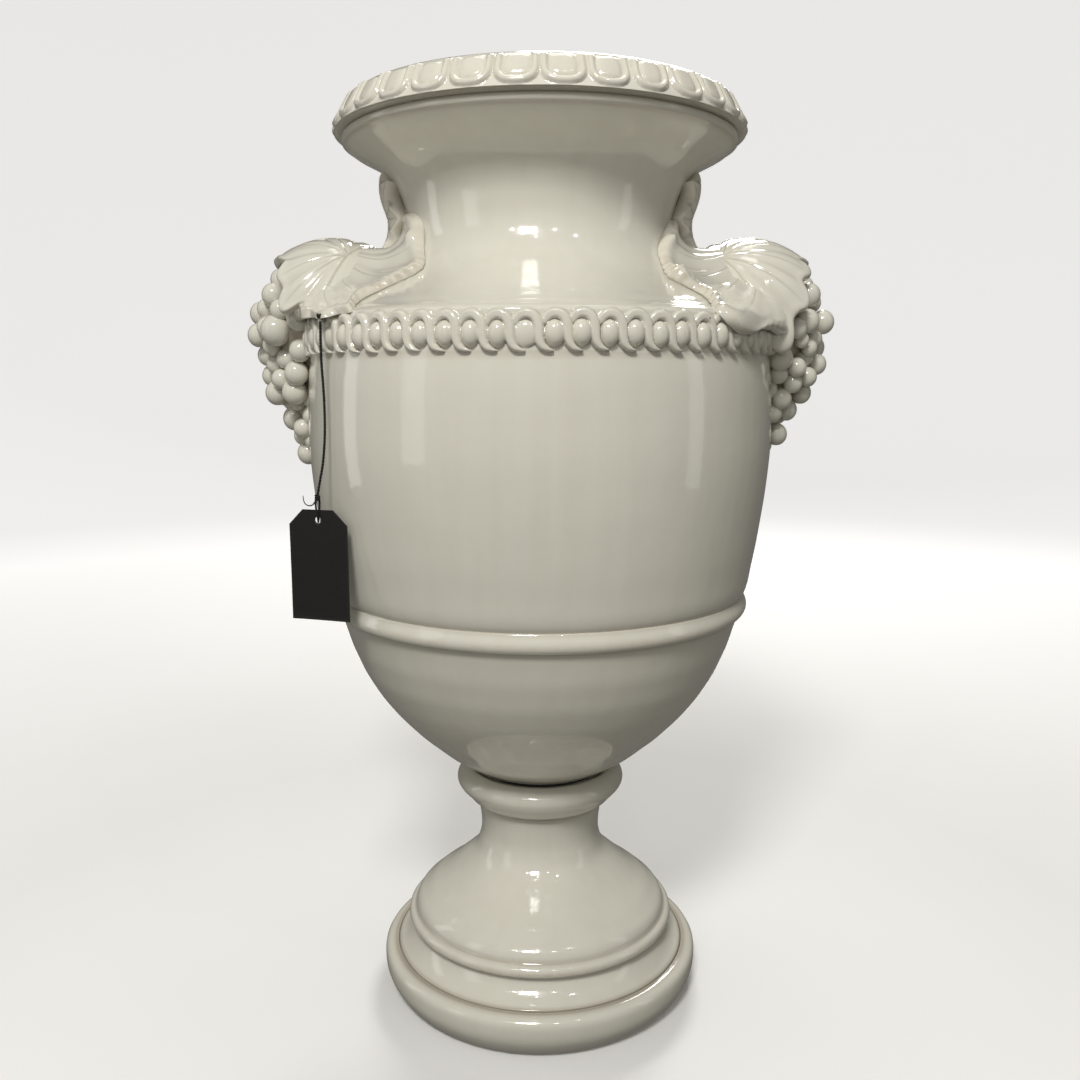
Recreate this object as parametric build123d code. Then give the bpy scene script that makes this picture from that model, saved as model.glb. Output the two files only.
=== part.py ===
from build123d import *
import os
from math import atan2, cos, hypot, pi, radians, sin, tan

# A two-part urn vase in glazed earthenware, about 800 mm tall. Origin at the middle of the base, +Z up,
# the front towards -Y and the grape handles at -X and +X. All sizes are in millimetres.

# Angle from +X at which the turned faces close
SEAM_TURN = 100.0

# Heights of the sections, from the floor up
BASE_H = 40.5
PEDESTAL_H = 137.0
COLLAR_H = 33.5
BOWL_H = 164.0
DRUM_H = 231.0
NECK_H = 166.0
RIM_H = 29.0

# Foot
BASE_FOOT_R = 130.0
BASE_SWELL = 11.0
BASE_WIDEST_Z = 28.0
BASE_TOP_R = 138.0
BASE_BORE_R = 114.0
GROOVE_STEP = 2.0
SCOTIA_R = 118.5
SCOTIA_H = 20.5
RING_BEAD_OUT = 6.9
RING_BEAD_H = 12.5
STEM_R = 55.2
STEM_TOP_R = 57.5
STEM_ROOF_T = 65.0
FOOT_WALL = 14.0
COLLAR_FOOT_R = 60.0
COLLAR_R = 78.0
COLLAR_WIDEST = 0.63
COLLAR_LIP_R = 67.0
COLLAR_LIP_W = 5.0
SEAT_DEPTH = 3.0
SEAT_PLAY = 1.0

# Body
WALL = 11.0
BOWL_FOOT_R = 58.0
BOWL_FLOOR_T = 16.0
BOWL_FLOOR_R = 60.0
JOINT_R = 181.5
RIB_OUT = 6.0
RIB_EDGE_OUT = 2.6
RIB_CROWN = 0.4
RIB_BELOW = 8.0
RIB_ABOVE = 8.0
DRUM_FOOT_R = 184.6
BELLY_SWELL = 4.1
BELLY_UP = 0.64
BAND_R = 199.5
BAND_BELOW = 13.5
BAND_ABOVE = 16.0
NECK_R = 115.0
WAIST_UP = 0.56
NECK_TOP_R = 168.4

# Rim and its egg ornament
RIM_EDGE_R = 175.0
RIM_EDGE_H = 2.0
RIM_TOP_R = 161.5
MOUTH_LAND = 12.5
MOUTH_ROUND = 3.0
ROUND_MIDDLE = 0.3
EGG_COUNT = 32
EGG_HALF_W = 10.4
EGG_HALF_H = 9.8
EGG_OUT = 4.2
SHIELD_HALF_W = 15.2
SHIELD_BAND_W = 3.8
SHIELD_SIDE_H = 10.5
SHIELD_OUT = 3.2
ORNAMENT_SINK = 4.0

# Beads and straps of the shoulder band
BEAD_COUNT = 64
HIDDEN_BEAD_COUNT = 5
BEAD_HALF_W = 7.0
BEAD_HALF_H = 9.6
BEAD_OUT = 7.0
BEAD_DROP = 2.0
STRAP_HALF_W = 2.2
STRAP_OUT = 5.0

# Handles: grapes and vine leaves
BUNCH_HEAD_R = 42.0
BUNCH_HEAD_UP = 13.0
BUNCH_BELLY_R = 33.0
BUNCH_BELLY_OUT = 8.0
BUNCH_BELLY_UP = -22.0
BUNCH_TAIL_R = 24.0
BUNCH_TAIL_UP = -40.0
BUNCH_TAIL_END_R = 6.0
HOOD_IN = 19.5
HOOD_R = 71.0
HOOD_T = 6.0
HOOD_UP = 10.0
SHOULDER_LEAF_T = 8.0
LEAF_LIP_OUT = 15.0
LEAF_LIP_T = 6.0
LEAF_PLAY = 0.3
NECK_LEAF_UP = 100.0

# Tie bolt that clamps the bowl to the foot
ROD_R = 6.0
ROD_HOLE_R = 7.0
ROD_END = 8.0
ROD_CHAMFER = 1.0
THREAD_PLAY = 0.05
WASHER_R = 17.0
WASHER_T = 2.5
SEAL_T = 3.0
GASKET_T = 2.0
GASKET_HOLE_R = 12.0
NUT_FLATS = 18.0
NUT_T = 10.0
WING_SPAN = 46.0
WING_H = 18.0
WING_T = 5.0
WING_ROUND = 6.0
WING_DROP = 1.0
WING_SINK = 1.0

# Swing tag and its cord
TAG_W = 51.0
TAG_H = 89.0
TAG_T = 0.8
TAG_CLIP = 12.0
TAG_HOLE_R = 2.6
TAG_HOLE_DROP = 8.0
TAG_TURN = 17.0
CORD_R = 1.0
CORD_GAP = 0.3
CORD_ARC_SHARE = 0.45
KNOT_R = 3.0
LOOP_R = 0.8
LOOP_KNOT_R = 2.2

# Levels, the base, the mouth and the belly, worked out from the sizes above
PEDESTAL_Z = BASE_H
COLLAR_Z = PEDESTAL_Z + PEDESTAL_H
LIP_Z = COLLAR_Z + COLLAR_H
SEAT_Z = LIP_Z - SEAT_DEPTH
BOWL_Z = SEAT_Z + GASKET_T
DRUM_Z = BOWL_Z + BOWL_H
NECK_Z = DRUM_Z + DRUM_H
RIM_Z = NECK_Z + NECK_H
TOP_Z = RIM_Z + RIM_H
BAND_TOP_Z = NECK_Z + BAND_ABOVE
ROOF_Z = COLLAR_Z - STEM_ROOF_T
FLOOR_Z = BOWL_Z + BOWL_FLOOR_T
BASE_R = BASE_TOP_R + BASE_SWELL
MOUTH_R = RIM_TOP_R - MOUTH_LAND
BELLY_R = BAND_R + BELLY_SWELL

# Shapes of the turned curves: parts of the radius change and of the rise between two named ends
CONE_SHAPE = ((0.06, 0.09), (0.24, 0.18), (0.47, 0.30), (0.74, 0.45),
              (0.93, 0.57), (1.0, 0.72), (1.01, 0.82))
COLLAR_LOW_SHAPE = ((0.36, 0.22), (0.80, 0.66))
BOWL_SHAPE = ((0.18, 0.085), (0.40, 0.227), (0.63, 0.41), (0.80, 0.60), (0.92, 0.80))
DRUM_LOW_SHAPE = ((0.30, 0.15), (0.66, 0.45), (0.92, 0.76))
DRUM_TOP_SHAPE = ((0.15, 0.50),)
SHOULDER_SHAPE = ((0.34, 0.18), (0.69, 0.41), (0.94, 0.72))
NECK_SHAPE = ((0.08, 0.31), (0.35, 0.66), (0.80, 0.88))

# Lobes of the leaves: angle in degrees from the leaf's right, and length in millimetres. The shoulder leaf's
# are drawn for a shoulder of the width below, from the neck's waist to the band, and follow it.
HOOD_LOBES = ((-90, 44), (-54, 50), (-16, 76), (20, 62), (90, 48), (160, 62), (196, 76), (234, 50))
SHOULDER_LOBES = ((90, 44), (46, 86), (8, 92), (-15, 142), (-62, 70),
                  (-118, 70), (195, 142), (172, 92), (134, 86))
LOBE_SIDE = 0.85
LOBE_SIDE_TURN = 0.22
LOBE_NOTCH = 0.72
LOBE_NOTCH_TURN = 0.5
NECK_LOBES = ((90, 51), (38, 34), (-16, 28), (-60, 44), (-120, 44), (196, 28), (142, 34))
SHOULDER_LEAF_AT = (-49.5, 41.0)
HOOD_LEAF_AT = (17.5, 74.0)
LEAF_REACH = 160.0
LEAF_DRAWN_WIDTH = 84.5
LEAF_DEPTH = 75.0

# Outer face of the neck leaf: its root in from the band, then points out from the neck's waist, all with
# their height up from the band's middle
NECK_LEAF_ROOT = (49.5, 50.0)
NECK_LEAF_FACE = ((28.0, 71.0), (22.0, 84.0), (19.0, 100.0), (25.0, 123.0), (19.0, 150.0))

# Grapes of each bunch: out from the band, forward, up from the band's middle, and radius
LEFT_GRAPES = ((47, 1.5, 22, 10), (26, 37, 6, 13), (4, 44, 16, 11), (47, 12, 3, 10), (45, -13, 1, 9.5),
               (5, 41, -11, 9.5), (43, 0, -14, 9.2), (10, 36, -30, 10.5), (41, -6, -32, 9.5),
               (33, 12, -47, 10.5), (31, -13, -49, 10), (14, 28, -46, 11), (22, -3, -70, 10.5),
               (11, 14, -78, 8.5), (9, -14, -80, 8.5), (10, 0, -101, 10))
RIGHT_GRAPES = ((29, 36, 14, 10), (47, 16, 14, 10), (45, -17, 14, 9.5),
                (24, 37, -2, 6.7), (33, 27, -8, 7.5), (46, -8, -7, 10), (6, 40, -17, 10.7),
                (22, 33, -25, 8.2), (45, 8, -22, 9), (42, -10, -30, 9), (35, 18, -33, 8.5),
                (33, 4, -47, 9.5), (12, 23, -52, 9), (21, 4, -62, 9.5), (13, 4, -84, 9.5))
GRAPE_TWIN_MIN = 20.0
GRAPE_TWIN_SHIFT = 2.0
GRAPE_STAND = 0.6

# Course of a strap round its bead: along the band to the right, up, and share of the full half width
STRAP_COURSE = ((-8.4, 5.0, 0.25), (-5.2, 10.6, 0.8), (1.0, 12.6, 1.0), (7.2, 9.0, 1.0),
                (9.6, 1.5, 1.0), (10.6, -5.5, 0.9), (13.2, -11.0, 0.7), (17.2, -14.0, 0.2))

# Route of the cord, from under its knot down to the tag's loop, chosen by hand
CORD_TOP = (-168.0, -128.6)
CORD_ROUTE = ((-168.6, -129.0, 589.0), (-166.9, -129.6, 561.0), (-166.6, -130.2, 532.0),
              (-169.0, -130.0, 506.0), (-172.4, -130.1, 491.0))
TAG_AT = (-174.6, -130.0)
LOOP_TOP_Z = 479.0
TAG_HOLE_Z = 461.0


def between(start, end, shape):
    """Points from start to end, each at its share of the radius change and of the rise."""
    dr = end[0] - start[0]
    dz = end[1] - start[1]
    return [start] + [(start[0] + a * dr, start[1] + b * dz) for a, b in shape] + [end]


def inset(points, wall):
    """The points moved towards the axis by the wall, square to the curve through them."""
    moved = []
    last = len(points) - 1
    for i, (r, z) in enumerate(points):
        before = points[max(i - 1, 0)]
        after = points[min(i + 1, last)]
        dr = after[0] - before[0]
        dz = after[1] - before[1]
        length = hypot(dr, dz)
        moved.append((r - wall * dz / length, z + wall * dr / length))
    return moved


def turned(*curves):
    """Solid of revolution about Z, its seam at the back; the curves run round its half section."""
    return Rot(0, 0, SEAM_TURN) * revolve(Plane.XZ * make_face(list(curves)), Axis.Z)


def disc_ring(inner_r, outer_r, z, height):
    """Flat ring on the axis, from z upwards."""
    ring = Circle(outer_r) - Circle(inner_r)
    return extrude(Pos(0, 0, z) * ring, height)


def ellipse_arc(centre, out, rise, start, sweep_angle=90):
    """Arc of an ellipse from an angle in degrees, a quarter unless told otherwise."""
    return EllipticalCenterArc(centre, out, rise, start_angle=start, arc_size=sweep_angle)


def base_ring():
    """Big torus of the base, with the flat ring that stands on the floor."""
    lower = ellipse_arc((BASE_FOOT_R, BASE_WIDEST_Z), BASE_R - BASE_FOOT_R, BASE_WIDEST_Z, -90)
    upper = ellipse_arc((BASE_TOP_R, BASE_WIDEST_Z), BASE_R - BASE_TOP_R, BASE_H - BASE_WIDEST_Z, 0)
    inside = Polyline((BASE_TOP_R, BASE_H), (BASE_BORE_R, BASE_H), (BASE_BORE_R, 0), (BASE_FOOT_R, 0))
    return turned(lower, upper, inside)


def cone_points():
    """Flared cone, from the top of the ring bead up to the top of the stem."""
    start = (SCOTIA_R, PEDESTAL_Z + SCOTIA_H + RING_BEAD_H)
    waist = between(start, (STEM_R, COLLAR_Z), CONE_SHAPE)
    return waist[:-1] + [(STEM_TOP_R, COLLAR_Z)]


def pedestal():
    """Scotia, ring bead, flared cone and stem in one hollow casting with a bored stem."""
    edge_r = BASE_TOP_R - GROOVE_STEP
    scotia_top = PEDESTAL_Z + SCOTIA_H
    cone = cone_points()
    scotia = ellipse_arc((edge_r, scotia_top), edge_r - SCOTIA_R, SCOTIA_H, 180)
    bead_mid = (SCOTIA_R, scotia_top + RING_BEAD_H / 2)
    bead = ellipse_arc(bead_mid, RING_BEAD_OUT, RING_BEAD_H / 2, -90, 180)
    hollow = [p for p in inset(cone, FOOT_WALL) if p[1] < ROOF_Z - FOOT_WALL]
    roof_r = hollow[-1][0] - FOOT_WALL / 2
    inside = Polyline(
        (STEM_TOP_R, COLLAR_Z), (ROD_HOLE_R, COLLAR_Z), (ROD_HOLE_R, ROOF_Z), (roof_r, ROOF_Z),
        *reversed(hollow), (BASE_BORE_R, PEDESTAL_Z), (edge_r, PEDESTAL_Z))
    return turned(scotia, bead, Spline(*cone), inside)


def foot_collar():
    """Torus on top of the stem, with a lip round the seat that takes the bowl."""
    widest = (COLLAR_R, COLLAR_Z + COLLAR_WIDEST * COLLAR_H)
    side = between((COLLAR_FOOT_R, COLLAR_Z), widest, COLLAR_LOW_SHAPE)
    top = ellipse_arc((COLLAR_LIP_R, widest[1]), COLLAR_R - COLLAR_LIP_R, LIP_Z - widest[1], 0)
    lip_r = COLLAR_LIP_R - COLLAR_LIP_W
    inside = Polyline(
        (COLLAR_LIP_R, LIP_Z), (lip_r, LIP_Z), (lip_r, SEAT_Z), (ROD_HOLE_R, SEAT_Z), (ROD_HOLE_R, COLLAR_Z),
        (COLLAR_FOOT_R, COLLAR_Z))
    return turned(Spline(*side), top, inside)


def bowl_points():
    """Outside of the bowl, from its foot to the rib."""
    return between((BOWL_FOOT_R, BOWL_Z), (JOINT_R, DRUM_Z - RIB_BELOW), BOWL_SHAPE)


def bowl():
    """Round lower body with a flat bored floor; its top edge hides behind the rib."""
    outer = bowl_points()
    inner = inset(outer, WALL)[2:]
    top_in = (JOINT_R - WALL, DRUM_Z)
    floor = (BOWL_FLOOR_R, FLOOR_Z)
    rim = Polyline(outer[-1], (JOINT_R, DRUM_Z), top_in)
    inside = Spline(top_in, *reversed(inner), floor)
    bottom = Polyline(floor, (ROD_HOLE_R, FLOOR_Z), (ROD_HOLE_R, BOWL_Z), outer[0])
    return turned(Spline(*outer), rim, inside, bottom)


def girth_rib():
    """Plain rib laid round the joint of bowl and drum."""
    low = DRUM_Z - RIB_BELOW
    high = DRUM_Z + RIB_ABOVE
    lip = (JOINT_R + RIB_EDGE_OUT, low)
    crown = (JOINT_R + RIB_OUT, low + RIB_CROWN * (high - low))
    roll = ThreePointArc(lip, crown, (DRUM_FOOT_R, high))
    back = Polyline((DRUM_FOOT_R, high), (JOINT_R, high), (JOINT_R, low), lip)
    return turned(roll, back)


def drum_points():
    """Outside of the drum, from the rib over the belly to the band."""
    belly = (BELLY_R, DRUM_Z + BELLY_UP * DRUM_H)
    low = between((DRUM_FOOT_R, DRUM_Z + RIB_ABOVE), belly, DRUM_LOW_SHAPE)
    high = between(belly, (BAND_R, NECK_Z - BAND_BELOW), DRUM_TOP_SHAPE)
    return low + high[1:]


def drum():
    """Tall wall of the body, rebated at its foot for the rib."""
    outer = drum_points()
    foot = Polyline((JOINT_R - WALL, DRUM_Z), (JOINT_R, DRUM_Z), (JOINT_R, DRUM_Z + RIB_ABOVE), outer[0])
    top = Polyline(outer[-1], (BAND_R, NECK_Z), (BAND_R - WALL, NECK_Z))
    inside = Spline((BAND_R - WALL, NECK_Z), *reversed(inset(outer, WALL)[1:-1]), (JOINT_R - WALL, DRUM_Z))
    return turned(foot, Spline(*outer), top, inside)


def neck_points():
    """Outside of the shoulder and neck, from the band's top in to the waist and out under the rim."""
    waist = (NECK_R, NECK_Z + WAIST_UP * NECK_H)
    shoulder = between((BAND_R, BAND_TOP_Z), waist, SHOULDER_SHAPE)
    flare = between(waist, (NECK_TOP_R, RIM_Z), NECK_SHAPE)
    return shoulder + flare[1:]


def shoulder_neck():
    """Hollow shoulder and trumpet neck."""
    outer = neck_points()
    foot = Polyline((BAND_R - WALL, NECK_Z), (BAND_R, NECK_Z), outer[0])
    top_in = (NECK_TOP_R - WALL, RIM_Z)
    inside = Spline(top_in, *reversed(inset(outer, WALL)[1:-1]), (BAND_R - WALL, NECK_Z))
    return turned(foot, Spline(*outer), Line(outer[-1], top_in), inside)


def rim():
    """Overhanging rim ring whose sloped face carries the eggs."""
    edge = (RIM_EDGE_R, RIM_Z + RIM_EDGE_H)
    brow = (RIM_TOP_R, TOP_Z - MOUTH_ROUND)
    nip = ROUND_MIDDLE * MOUTH_ROUND
    crown = ThreePointArc(brow, (RIM_TOP_R - nip, TOP_Z - nip), (RIM_TOP_R - MOUTH_ROUND, TOP_Z))
    lip_end = (MOUTH_R, TOP_Z - MOUTH_ROUND)
    lip = ThreePointArc((MOUTH_R + MOUTH_ROUND, TOP_Z), (MOUTH_R + nip, TOP_Z - nip), lip_end)
    top = Line((RIM_TOP_R - MOUTH_ROUND, TOP_Z), (MOUTH_R + MOUTH_ROUND, TOP_Z))
    inside = Polyline(
        lip_end, (NECK_TOP_R - WALL, RIM_Z), (RIM_EDGE_R, RIM_Z), edge, brow)
    return turned(crown, top, lip, inside)


def round_copies(piece, count, skip=()):
    """Copies of a piece turned about Z in equal steps, without the skipped numbers."""
    return [Rot(0, 0, 360 * i / count) * piece for i in range(count) if i not in skip]


def rim_face():
    """Plane on the middle of the rim's sloped face at +X: x along the rim, y up the slope, z outwards."""
    low = (RIM_EDGE_R, RIM_Z + RIM_EDGE_H)
    high = (RIM_TOP_R, TOP_Z - MOUTH_ROUND)
    slope = atan2(low[0] - high[0], high[1] - low[1])
    middle = ((low[0] + high[0]) / 2, 0, (low[1] + high[1]) / 2)
    return Plane(middle, x_dir=(0, 1, 0), z_dir=(cos(slope), 0, sin(slope)))


def u_shape(half_w, side_h, base_y):
    """U outline closed across its top: straight sides above a half round."""
    top_y = base_y + side_h
    sides = Polyline((-half_w, base_y), (-half_w, top_y), (half_w, top_y), (half_w, base_y))
    return make_face([sides, ThreePointArc((half_w, base_y), (0, base_y - half_w), (-half_w, base_y))])


def rim_shields(ground):
    """U-shaped surrounds of the eggs, one solid each."""
    inner_w = SHIELD_HALF_W - SHIELD_BAND_W
    base_y = SHIELD_BAND_W / 2
    frame = u_shape(SHIELD_HALF_W, SHIELD_SIDE_H, base_y) - u_shape(inner_w, 2 * SHIELD_SIDE_H, base_y)
    block = extrude(rim_face() * Pos(0, 0, -ORNAMENT_SINK) * frame, ORNAMENT_SINK + SHIELD_OUT)
    return round_copies(block - ground, EGG_COUNT)


def rim_eggs(ground):
    """Eggs inside the surrounds, each the cap of an ellipsoid."""
    egg = scale(Sphere(1), by=(EGG_HALF_W, EGG_HALF_H, EGG_OUT))
    return round_copies(rim_face() * Pos(0, SHIELD_BAND_W / 4, 0) * egg - ground, EGG_COUNT)


def beads_hidden():
    """Numbers of the band's places that the bunches cover, counted round from +X."""
    half = HIDDEN_BEAD_COUNT // 2
    spans = [range(-half, half + 1), range(BEAD_COUNT // 2 - half, BEAD_COUNT // 2 + half + 1)]
    return {i % BEAD_COUNT for span in spans for i in span}


def band_face():
    """Plane on the band at +X: x along the band, y up, z outwards."""
    return Plane((BAND_R, 0, NECK_Z - BEAD_DROP), x_dir=(0, 1, 0), z_dir=(1, 0, 0))


def shoulder_beads(wall):
    """Tall beads of the band, each the cap of an ellipsoid."""
    bead = scale(Sphere(1), by=(BEAD_HALF_W, BEAD_HALF_H, BEAD_OUT))
    return round_copies(band_face() * bead - wall, BEAD_COUNT, beads_hidden())


def strap_outline():
    """Tapered stroke along the strap's course."""
    left = []
    right = []
    last = len(STRAP_COURSE) - 1
    for i, (x, y, share) in enumerate(STRAP_COURSE):
        before = STRAP_COURSE[max(i - 1, 0)]
        after = STRAP_COURSE[min(i + 1, last)]
        dx = after[0] - before[0]
        dy = after[1] - before[1]
        half = STRAP_HALF_W * share / hypot(dx, dy)
        left.append((x - half * dy, y + half * dx))
        right.append((x + half * dy, y - half * dx))
    ends = [Line(left[-1], right[-1]), Line(right[0], left[0])]
    return make_face([Spline(*left), Spline(*reversed(right)), *ends])


def shoulder_straps(wall):
    """Curled straps, each over its own bead and down between it and the next."""
    block = extrude(band_face() * Pos(0, 0, -ORNAMENT_SINK) * strap_outline(), ORNAMENT_SINK + STRAP_OUT)
    hidden = beads_hidden()
    skip = hidden | {(i - 1) % BEAD_COUNT for i in hidden}
    return round_copies(block - wall, BEAD_COUNT, skip)


def body_envelope():
    """Everything inside the outer face of drum, band, shoulder and neck."""
    foot = Polyline((0, RIM_Z), (0, DRUM_Z), (JOINT_R, DRUM_Z), (DRUM_FOOT_R, DRUM_Z + RIB_ABOVE))
    band = Polyline((BAND_R, NECK_Z - BAND_BELOW), (BAND_R, BAND_TOP_Z))
    top = Line((NECK_TOP_R, RIM_Z), (0, RIM_Z))
    return turned(foot, Spline(*drum_points()), band, Spline(*neck_points()), top)


def leaf_outline(lobes):
    """Closed smooth outline through each lobe's tip, its two shoulders and the notch after it."""
    points = []
    for i, (angle, length) in enumerate(lobes):
        before, _ = lobes[i - 1]
        after, next_length = lobes[(i + 1) % len(lobes)]
        to_before = (angle - before + 180) % 360 - 180
        to_after = (after - angle + 180) % 360 - 180
        shares = ((-LOBE_SIDE_TURN * to_before, LOBE_SIDE * length), (0, length),
                  (LOBE_SIDE_TURN * to_after, LOBE_SIDE * length),
                  (LOBE_NOTCH_TURN * to_after, LOBE_NOTCH * min(length, next_length)))
        points += [(r * cos(radians(angle + turn)), r * sin(radians(angle + turn))) for turn, r in shares]
    return make_face([Spline(*points, periodic=True)])


def leaf_prism(lobes, out, up, depth):
    """The leaf's outline carried along the slope that faces out and up at +X."""
    plane = Plane((BAND_R + out, 0, NECK_Z + up), x_dir=(0, 1, 0), z_dir=(1, 0, 1))
    return extrude(plane * Pos(0, 0, -depth) * leaf_outline(lobes), depth + LEAF_REACH)


def leaf_face():
    """Upper face of the shoulder leaf, from the edge of its lip up to under the rim."""
    return [(BAND_R + LEAF_LIP_OUT, BAND_TOP_Z + LEAF_LIP_T)] + inset(neck_points(), -SHOULDER_LEAF_T)[1:-1]


def leaf_wall():
    """Everything inside the drum, the band and the shoulder leaf's upper face."""
    face = leaf_face()
    lip = face[0]
    top = face[-1]
    foot = Polyline((0, top[1]), (0, DRUM_Z), (JOINT_R, DRUM_Z), (DRUM_FOOT_R, DRUM_Z + RIB_ABOVE))
    band = Polyline((BAND_R, NECK_Z - BAND_BELOW), (BAND_R, BAND_TOP_Z), (lip[0], BAND_TOP_Z), lip)
    return turned(foot, Spline(*drum_points()), band, Spline(*face), Line(top, (0, top[1])))


def shoulder_leaf(envelope, wall):
    """Broad leaf that lies on the shoulder and stands out over the band."""
    share = (BAND_R - NECK_R) / LEAF_DRAWN_WIDTH
    lobes = [(angle, share * length) for angle, length in SHOULDER_LOBES]
    out, up = SHOULDER_LEAF_AT
    return leaf_prism(lobes, share * out, up, LEAF_REACH) & wall - envelope


def neck_leaf(envelope, wall):
    """Leaf that stands up against the neck and bridges its hollow."""
    root_in, root_up = NECK_LEAF_ROOT
    low = (BAND_R - root_in, NECK_Z + root_up)
    face = [low] + [(NECK_R + out, NECK_Z + up) for out, up in NECK_LEAF_FACE]
    high = face[-1]
    block = turned(Spline(*face), Polyline(high, (0, high[1]), (0, low[1]), low))
    plane = Plane((0, 0, NECK_Z + NECK_LEAF_UP), x_dir=(0, 1, 0), z_dir=(1, 0, 0))
    prism = extrude(plane * leaf_outline(NECK_LOBES), NECK_R + LEAF_REACH)
    return prism & block - envelope - wall - hood_dome(0)


def hood_dome(shrink):
    """Ball round the top of the bunch, whose outer layer is the hood leaf."""
    return Pos(BAND_R - HOOD_IN, 0, NECK_Z + HOOD_UP) * Sphere(HOOD_R - shrink)


def hood_leaf(wall):
    """Lobed leaf that arches from the shoulder out over the grapes, clear of all under the shoulder leaf's lip."""
    under_lip = Pos(0, 0, NECK_Z) * Cylinder(BAND_R + LEAF_LIP_OUT + LEAF_PLAY, 2 * BAND_ABOVE)
    prism = leaf_prism(HOOD_LOBES, *HOOD_LEAF_AT, LEAF_DEPTH)
    return prism & hood_dome(0) - hood_dome(HOOD_T) - wall - under_lip


def wall_radius(z):
    """Radius of the drum's outside at a height, straight between its points; the band's above them."""
    points = drum_points()
    for (r0, z0), (r1, z1) in zip(points, points[1:]):
        if z0 <= z <= z1:
            return r0 + (r1 - r0) * (z - z0) / (z1 - z0)
    return BAND_R


def grape(out, y, up, r):
    """One grape, no deeper in the wall than leaves a share of its radius standing out."""
    z = NECK_Z + up
    least = wall_radius(z) + GRAPE_STAND * r
    x = max(BAND_R + out, (least ** 2 - y ** 2) ** 0.5)
    return Pos(x, y, z) * Sphere(r)


def grape_balls(grapes):
    """A ball for each grape, and a twin behind for each one well forward."""
    front = [(out, -forward, up, r) for out, forward, up, r in grapes]
    back = [(out - GRAPE_TWIN_SHIFT, forward, up - GRAPE_TWIN_SHIFT, r) for out, forward, up, r in grapes
            if forward > GRAPE_TWIN_MIN]
    return [grape(*place) for place in front + back]


def bunch_core(grapes):
    """Solid heart of a bunch: a ball for its head, one for its belly, and a tail down to the lowest grape.

    Their seams face the wall.
    """
    low = min(up for _, _, up, _ in grapes)
    inwards = Rot(0, 0, 180)
    head = Pos(BAND_R, 0, NECK_Z + BUNCH_HEAD_UP) * inwards * Sphere(BUNCH_HEAD_R)
    belly = Pos(BAND_R + BUNCH_BELLY_OUT, 0, NECK_Z + BUNCH_BELLY_UP) * inwards * Sphere(BUNCH_BELLY_R)
    tail = inwards * Cone(BUNCH_TAIL_END_R, BUNCH_TAIL_R, BUNCH_TAIL_UP - low)
    return head + belly + Pos(BAND_R, 0, NECK_Z + (BUNCH_TAIL_UP + low) / 2) * tail


def largest(piece):
    """The largest solid of a piece."""
    return max(piece.solids(), key=lambda solid: solid.volume)


def grape_bunch(grapes, wall):
    """Core and grapes cut to the wall, the grapes sunk into the core."""
    core = bunch_core(grapes) - wall
    return Compound([largest(core)] + [largest(ball - wall - core) for ball in grape_balls(grapes)])


def tie_rod():
    """Threaded rod up through stem, collar, gasket and bowl floor."""
    low = ROOF_Z - WASHER_T - NUT_T - ROD_END
    high = FLOOR_Z + SEAL_T + WASHER_T + NUT_T + ROD_END
    rod = Pos(0, 0, low) * Cylinder(ROD_R, high - low, align=(Align.CENTER, Align.CENTER, Align.MIN))
    return chamfer(rod.edges(), ROD_CHAMFER)


def nut(z):
    """Hexagon nut on the rod, from z upwards."""
    outline = RegularPolygon(NUT_FLATS / 2, 6, major_radius=False) - Circle(ROD_R + THREAD_PLAY)
    return extrude(Pos(0, 0, z) * outline, NUT_T)


def wing_nut(top_z):
    """Wing nut under the stem's roof, its wings hanging down."""
    hub = disc_ring(ROD_R + THREAD_PLAY, NUT_FLATS / 2, top_z - NUT_T, NUT_T)
    wings = Pos(0, 0, top_z - WING_H / 2 - WING_DROP) * Box(WING_SPAN, WING_T, WING_H)
    space = Pos(0, 0, top_z - WING_H) * Cylinder(NUT_FLATS / 2 - WING_SINK, 2 * (WING_H + WING_DROP))
    return hub + (fillet(wings.edges().filter_by(Axis.Y), WING_ROUND) - space)


def tag_plane():
    """Plane of the tag at its hole: x to its right, y up, z towards the viewer."""
    turn = radians(TAG_TURN)
    return Plane((*TAG_AT, TAG_HOLE_Z), x_dir=(cos(turn), -sin(turn), 0), z_dir=(-sin(turn), -cos(turn), 0))


def swing_tag():
    """Card tag with its top corners clipped and a punched hole."""
    top = TAG_HOLE_DROP
    low = top - TAG_H
    half = TAG_W / 2
    card = make_face([Polyline(
        (-half, low), (half, low), (half, top - TAG_CLIP), (half - TAG_CLIP, top), (TAG_CLIP - half, top),
        (-half, top - TAG_CLIP), (-half, low))]) - Circle(TAG_HOLE_R)
    return extrude(tag_plane() * Pos(0, 0, -TAG_T / 2) * card, TAG_T)


def bend_radii(points):
    """Arc at each corner of a route: a share of the shorter run over the tangent of half the turn."""
    radii = []
    for a, b, c in zip(points, points[1:], points[2:]):
        first = Vector(*b) - Vector(*a)
        second = Vector(*c) - Vector(*b)
        half_turn = radians(first.get_angle(second)) / 2
        radii.append(CORD_ARC_SHARE * min(first.length, second.length) / tan(half_turn))
    return radii


def tube(points, radius):
    """Round cord along straight runs joined by arcs as large as the runs allow."""
    radii = bend_radii(points)
    path = FilletPolyline(*points, radius=radii)
    section = Plane(path @ 0, z_dir=path % 0) * Circle(radius)
    return sweep(section, path), path.length, radii


def knot_z():
    """Height of the knot's middle, tucked up under the leaf's lip."""
    return BAND_TOP_Z - KNOT_R


def cord_knot():
    """Knot of the cord's upper end, against the underside of the leaf's front lobe."""
    return Pos(*CORD_TOP, knot_z()) * Sphere(KNOT_R)


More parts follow.
